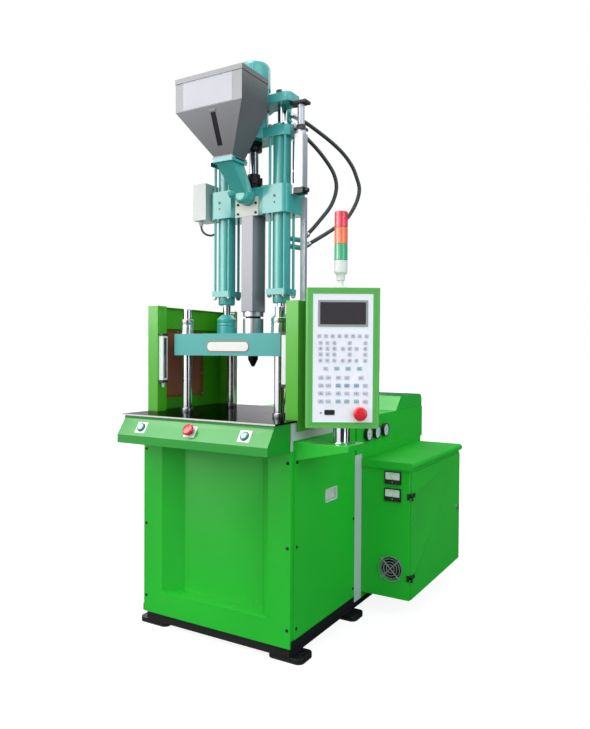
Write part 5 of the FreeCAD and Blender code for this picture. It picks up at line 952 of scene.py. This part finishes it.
def key_mark(kind):
    """One of six marks in x, z: a bar, a dot, an arrow, two bars, a plus or two upright bars."""
    bar = rounded(6, 1.3, 0.4, 2)
    thin, post = rounded(6.4, 1.0, 0.3, 2), rounded(1.2, 5, 0.4, 2)
    marks = ([bar], [rounded(3, 3, 1.4, 4)], [[(-2.4, -2.0), (2.4, -2.0), (0, 2.6)]],
             [thin + (0, 2), thin - (0, 2)], [bar, rounded(1.3, 6, 0.4, 2)],
             [post - (1.6, 0), post + (1.6, 0)])
    return joined([plate(outline, 0.12, base=KEY_OUT) for outline in marks[kind]])


caps, marks = {"grey": [], "blue": [], "teal": []}, []
for row, (down, shares, middle_tone) in enumerate(KEY_ROWS):
    for column, share in enumerate(shares):
        spot = ((share - 0.5) * FACE_W, 0, (1 - down) * FACE_H)
        tone = middle_tone if 0.35 < share < 0.8 else "grey"
        caps[tone].append(moved(key_cap(NARROW if row < NARROW_ROWS else WIDE), spot))
        marks.append(moved(key_mark((5 * row + 7 * column + row * column) % 6), spot))
for tone, shapes in caps.items():
    face_piece("panel_keys_" + tone, joined(shapes), "keypad_film", "key_" + tone, sharp=50)
face_piece("panel_key_marks", joined(marks), "black_plastic", "key_print")
print("keys:", len(marks))

# %% [markdown]
# ## Gauges and meters
#
# Each pressure gauge is a black case with a white card, ticks on three quarters of a turn, a needle and
# a glass. The two meters on the cabinet are square, with an arc scale in the upper part.

# %% Dials and needles
def tilted(outline, degrees):
    """An outline in x, z turned clockwise: (x cos a + z sin a, z cos a - x sin a)."""
    (x, z), a = np.transpose(outline), math.radians(degrees)
    return np.stack([x * math.cos(a) + z * math.sin(a), z * math.cos(a) - x * math.sin(a)], -1)


def dial_marks(radius, sweep, count, width, long_every=5):
    """Ticks on an arc: each a thin bar that ends on the radius, turned to its angle."""
    marks = []
    for i, angle in enumerate(np.linspace(-sweep / 2, sweep / 2, count)):
        start = radius * (1 - (0.13 if i % long_every else 0.22))
        bar = [(-width / 2, start), (width / 2, start), (width / 2, radius), (-width / 2, radius)]
        marks.append(plate(tilted(bar, angle), 0.15))
    return joined(marks)


def needle(reach, angle, width):
    """A tapered pointer with a tail, turned to its angle, and a small round boss."""
    tail = -0.25 * reach
    pointer = [(-width, tail), (width, tail), (0.25, reach), (-0.25, reach)]
    return joined([plate(tilted(pointer, angle), 0.3, base=0.5), plate(circle(2.4 * width, 12), 0.9)])


DIAL_PARTS = (("card", "white_plastic"), ("marks", "black_plastic"), ("needle", "black_plastic"),
              ("glass", "brown_acrylic"))


def dial(name, spot, paper, *shapes):
    """The four parts of a dial, each laid on the same spot."""
    for (part, slot), finish, shape in zip(DIAL_PARTS, (paper, "ink", "ink", "dial_glass"), shapes):
        piece(f"{name}_{part}", shape, "base", slot, finish, laid=spot)


# %% Gauges and meters
GAUGE_FACE, METER_FACE = 339, 284
for number, (y, angle) in enumerate(((327, -100), (410, -55), (498, -120)), 1):
    on_card = (0, -0.4, 0)
    dial(f"gauge_{number}", set_at((GAUGE_FACE, y, 700), right=(0, 1, 0)), "gauge_card",
         plate(circle(24.8, 40), 0.4), moved(dial_marks(20.5, 270, 26, 0.7), on_card),
         moved(needle(17, angle, 0.9), on_card), plate(circle(24.9, 40), 0.6, base=2.6))
for number, (z, angle) in enumerate(((543, -28), (477, 12)), 1):
    window, pivot = (0, 0, 7), (0, -0.3, -7.5)
    dial(f"meter_{number}", set_at((457, METER_FACE, z)), "dial_card",
         moved(plate(rounded(58.6, 27.6, 0.5), 0.3), window),
         moved(dial_marks(26, 90, 21, 0.6), pivot), moved(needle(23, angle, 0.7), pivot),
         moved(plate(rounded(58.8, 27.8, 0.5), 0.5, base=1.3), window))
    piece(f"meter_{number}_screw", aimed(screw(PAN, 2.4), (457, METER_FACE - 2, z - 16), FRONT), "base",
          "bright_steel")
print("gauges and meters")

# %% [markdown]
# ## Console, light curtains and pull cups
#
# A pale square legend plate lies under each push button, left without words. The light curtains have a
# dark lens strip towards the mould. The pull cups are pale plastic liners with a raised rim.

# %% Console plates and rings
CONSOLE_OUT, CONSOLE_UP = (0, -0.8297, 0.5582), (0, 0.5582, 0.8297)
BUTTON_RING = [(15.4, 0.8), (15.4, 3.4), (14.2, 4.8), (12.2, 4.8), (11.2, 4.2), (10.6, 2.5)]
for name, x in (("left", -220), ("middle", 0), ("right", 220)):
    spot = (x, -368.5, 756.5)
    piece("legend_plate_" + name, border(rounded(46, 42, 3), circle(16, 24, start=0.1), 0.8), "base",
          "white_plastic", "dial_card", edge=0.3, laid=set_at(spot, up=CONSOLE_UP))
    if name != "middle":
        piece("button_ring_" + name, aimed(turned(BUTTON_RING, 36), spot, CONSOLE_OUT), "base",
              "black_plastic", "ring_teal", sharp=50)
print("console dressed")

# %% Lens strips, pull cups, hinges and strips
CUP_IN = 10.4
for side, name in SIDES:
    piece("curtain_lens_" + name, slab(side * 259.2, side * 260.2, -209, -195, 924, 1075), "base",
          "black_plastic", "screen_film")
    caps = [slab(side * 258.6, side * 280.3, -216.4, -187.6, z, z + 10.4) for z in (906.8, 1081.8)]
    piece("curtain_caps_" + name, joined(caps), "base", "black_plastic", edge=1.0)
    mouth = rounded(80, 37, 3)
    cup = [border(rounded(91, 48, 5), mouth, 1.9), border(rounded(84, 41, 3), mouth, 10.2, base=-CUP_IN),
           plate(rounded(83, 40, 3), 0.5, base=-CUP_IN)]
    piece("pull_cup_" + name, joined(cup), "base", "white_plastic", "cup_grey", edge=0.4,
          laid=set_at((side * SIDE_FACE, 26, 513), right=(0, side, 0)))


def knuckle(low, high):
    """One half of a hinge's barrel, with chamfered ends."""
    barrel = [(0, low), (5.7, low), (6.2, low + 0.6), (6.2, high - 0.6), (5.7, high), (0, high)]
    return aimed(turned(barrel, 24), (533, 293, 0))


for number, low in enumerate((463, 150), 1):
    foot, split, top = low - 0.4, low + 8.6, low + 24.4
    fixed = [knuckle(foot, split - 0.8), slab(515.5, 526.4, 286.8, 289.5, foot, top)]
    swinging = [knuckle(split, top), slab(532.2, 534.4, 294, 327.5, split, top)]
    for body, part, shapes in (("base", "fixed", fixed), ("door", "swinging", swinging)):
        piece(f"hinge_{number}_{part}", joined(shapes), body, "black_plastic", sharp=40)
for side, name in SIDES:
    piece("kick_strip_" + name, slab(side * 322, side * 325.4, -247, 226, 51, 76.8), "base", "black_paint",
          edge=0.5)
# a thin bright steel strip on the dark table's front edge: a painted highlight along the edge
piece("table_edge", slab(-325.6, 325.6, -356.35, -355.9, 794.4, 799.6), "base", "bright_steel")
print("curtains, cups, hinges and strips")

# %% [markdown]
# ## Small cables
#
# A black lead goes from the junction box's gland to the left cylinder's switch, and one from the right
# light curtain to the table. Both are short, so they hang in a small bow between their two ends. The left
# curtain's lead does not show, and is left out.

# %% Cables
JUNCTION_LEAD = [(-214, -48, 1513), (-213, -48, 1502), (-208, -46, 1491), (-199, -43, 1482),
                 (-187, -39, 1477), (-175, -35, 1475), (-165, -32, 1478), (-157, -29, 1484)]
CURTAIN_LEAD = [(270, -202, 889), (270, -202, 878), (268, -203, 866), (265, -204, 852), (263, -205, 838),
                (263, -205, 824), (264, -205, 812), (265, -205, 801)]
free_line("junction_lead", JUNCTION_LEAD, 4.0, "carriage")
free_line("curtain_lead_right", CURTAIN_LEAD, 3.2, "base")

# %% [markdown]
# ## Stage and light
#
# The machine stands on a pale floor in soft even light, as in a catalogue. The lamps are large and
# plain so that a colour renders about as it is written. White behind the machine comes from the world
# as the camera and mirrors see it, not from more light. Dark cards out of view give the chromed bars
# their dark edges.

# %% Floor and world
AMBIENT = 0.50


def grey(level):
    return (level, level, level, 1.0)


def seen_in(tree):
    """1 to the camera, mirrors and glass, 0 to the light that bounces."""
    paths = tree.node("LightPath").socket.node.outputs
    camera_ray, glossy_ray, through = [Value(tree, paths[kind]) for kind in
                                       ("Is Camera Ray", "Is Glossy Ray", "Is Transmission Ray")]
    return camera_ray.larger(glossy_ray).larger(through)


def stage_plane(name, corners, finish):
    made = linked(name, mesh_of(name, corners, [range(len(corners))]), finish)
    return made


def pale_floor():
    """Grey to the light that bounces, near white where seen, with some shadow left in it."""
    finish = Finish(Roughness=0.9)
    seen = seen_in(finish)
    finish.set(Base_Color=finish.mix(seen, grey(0.34), grey(0.93)))
    glow = finish.node("Emission", {"Color": grey(1.0), "Strength": 1.22})
    matt = Value(finish, finish.shader.outputs[0])
    shown = finish.node("MixShader", {0: seen * 0.72, 1: matt, 2: glow})
    finish.feed(finish.nodes["Material Output"], "Surface", shown)
    return finish


add_finishes(pale_floor=pale_floor(), dark_card=Finish(Roughness=1.0, Base_Color=(0.03, 0.03, 0.035, 1)))
stage_plane("floor", [(-30, -30, 0), (30, -30, 0), (30, 30, 0), (-30, 30, 0)], "pale_floor")

scene = bpy.context.scene
scene.view_settings.view_transform = "Standard"
scene.world = bpy.data.worlds.new("studio")
scene.world.use_nodes = True
sky = Tree(scene.world.node_tree)
sky.feed(sky.nodes["Background"], "Color", grey(1.0))
sky.feed(sky.nodes["Background"], "Strength", seen_in(sky) * (1 - AMBIENT) + AMBIENT)
print("floor and world")


# %% Lamps
def lamp(name, strength, soft, direction, tint):
    """A sun: `strength` in W per square metre, `soft` its apparent width in degrees."""
    made = added(name, bpy.data.lights.new(name, "SUN"))
    made.data.energy, made.data.angle, made.data.color = strength, math.radians(soft), tint
    made.rotation_euler = Vector(direction).to_track_quat("-Z", "Y").to_euler()


lamp("key", 1.7, 34, (0.22, 0.38, -1.0), (1.0, 0.98, 0.92))
lamp("front", 1.15, 60, (0.38, 0.82, -0.42), (1.0, 0.97, 0.90))
lamp("fill", 1.5, 60, (-0.9, 0.42, -0.3), (0.70, 0.98, 1.0))
lamp("back", 0.5, 60, (0.2, -0.9, -0.5), (1.0, 1.0, 1.0))

SOFTBOX_PLACE, SOFTBOX_TARGET = Vector((-1.75, -2.5, 2.25)), Vector((-0.1, -0.3, 1.25))
softbox = added("softbox", bpy.data.lights.new("softbox", "AREA"))
softbox.data.shape = "RECTANGLE"
softbox.data.size, softbox.data.size_y, softbox.data.energy = 2.1, 2.2, 66
softbox.visible_diffuse = False
aim = (SOFTBOX_TARGET - SOFTBOX_PLACE).to_track_quat("-Z", "Y").to_matrix().to_4x4()
softbox.matrix_world = Matrix.Translation(SOFTBOX_PLACE) @ aim
print("four suns, and a softbox for mirrors")

# %% Dark cards
CARD_TOP, CARD_FLOOR = 3.4, 0.004
CARD_LINES = {"card_left": ((-3.6, -0.6), (-3.4, 0.6)), "card_right": ((3.6, -0.6), (3.8, 1.2)),
              "card_camera": ((1.2, -4.0), (3.6, -2.0)), "card_behind": ((-0.4, 5.2), (4.6, 2.4)),
              "card_far": ((-2.0, 5.2), (-0.4, 5.2))}
CARDS = {name: [(*start, 0), (*end, 0), (*end, CARD_TOP), (*start, CARD_TOP)]
         for name, (start, end) in CARD_LINES.items()}
CARDS["card_floor"] = [(x, y, CARD_FLOOR) for x, y in ((-3.5, -4.5), (4.5, -4.5), (4.5, 5.0), (-3.5, 5.0))]
for name, corners in CARDS.items():
    card = stage_plane(name, corners, "dark_card")
    card.visible_camera = card.visible_diffuse = card.visible_shadow = card.visible_transmission = False
print("cards:", len(CARDS))
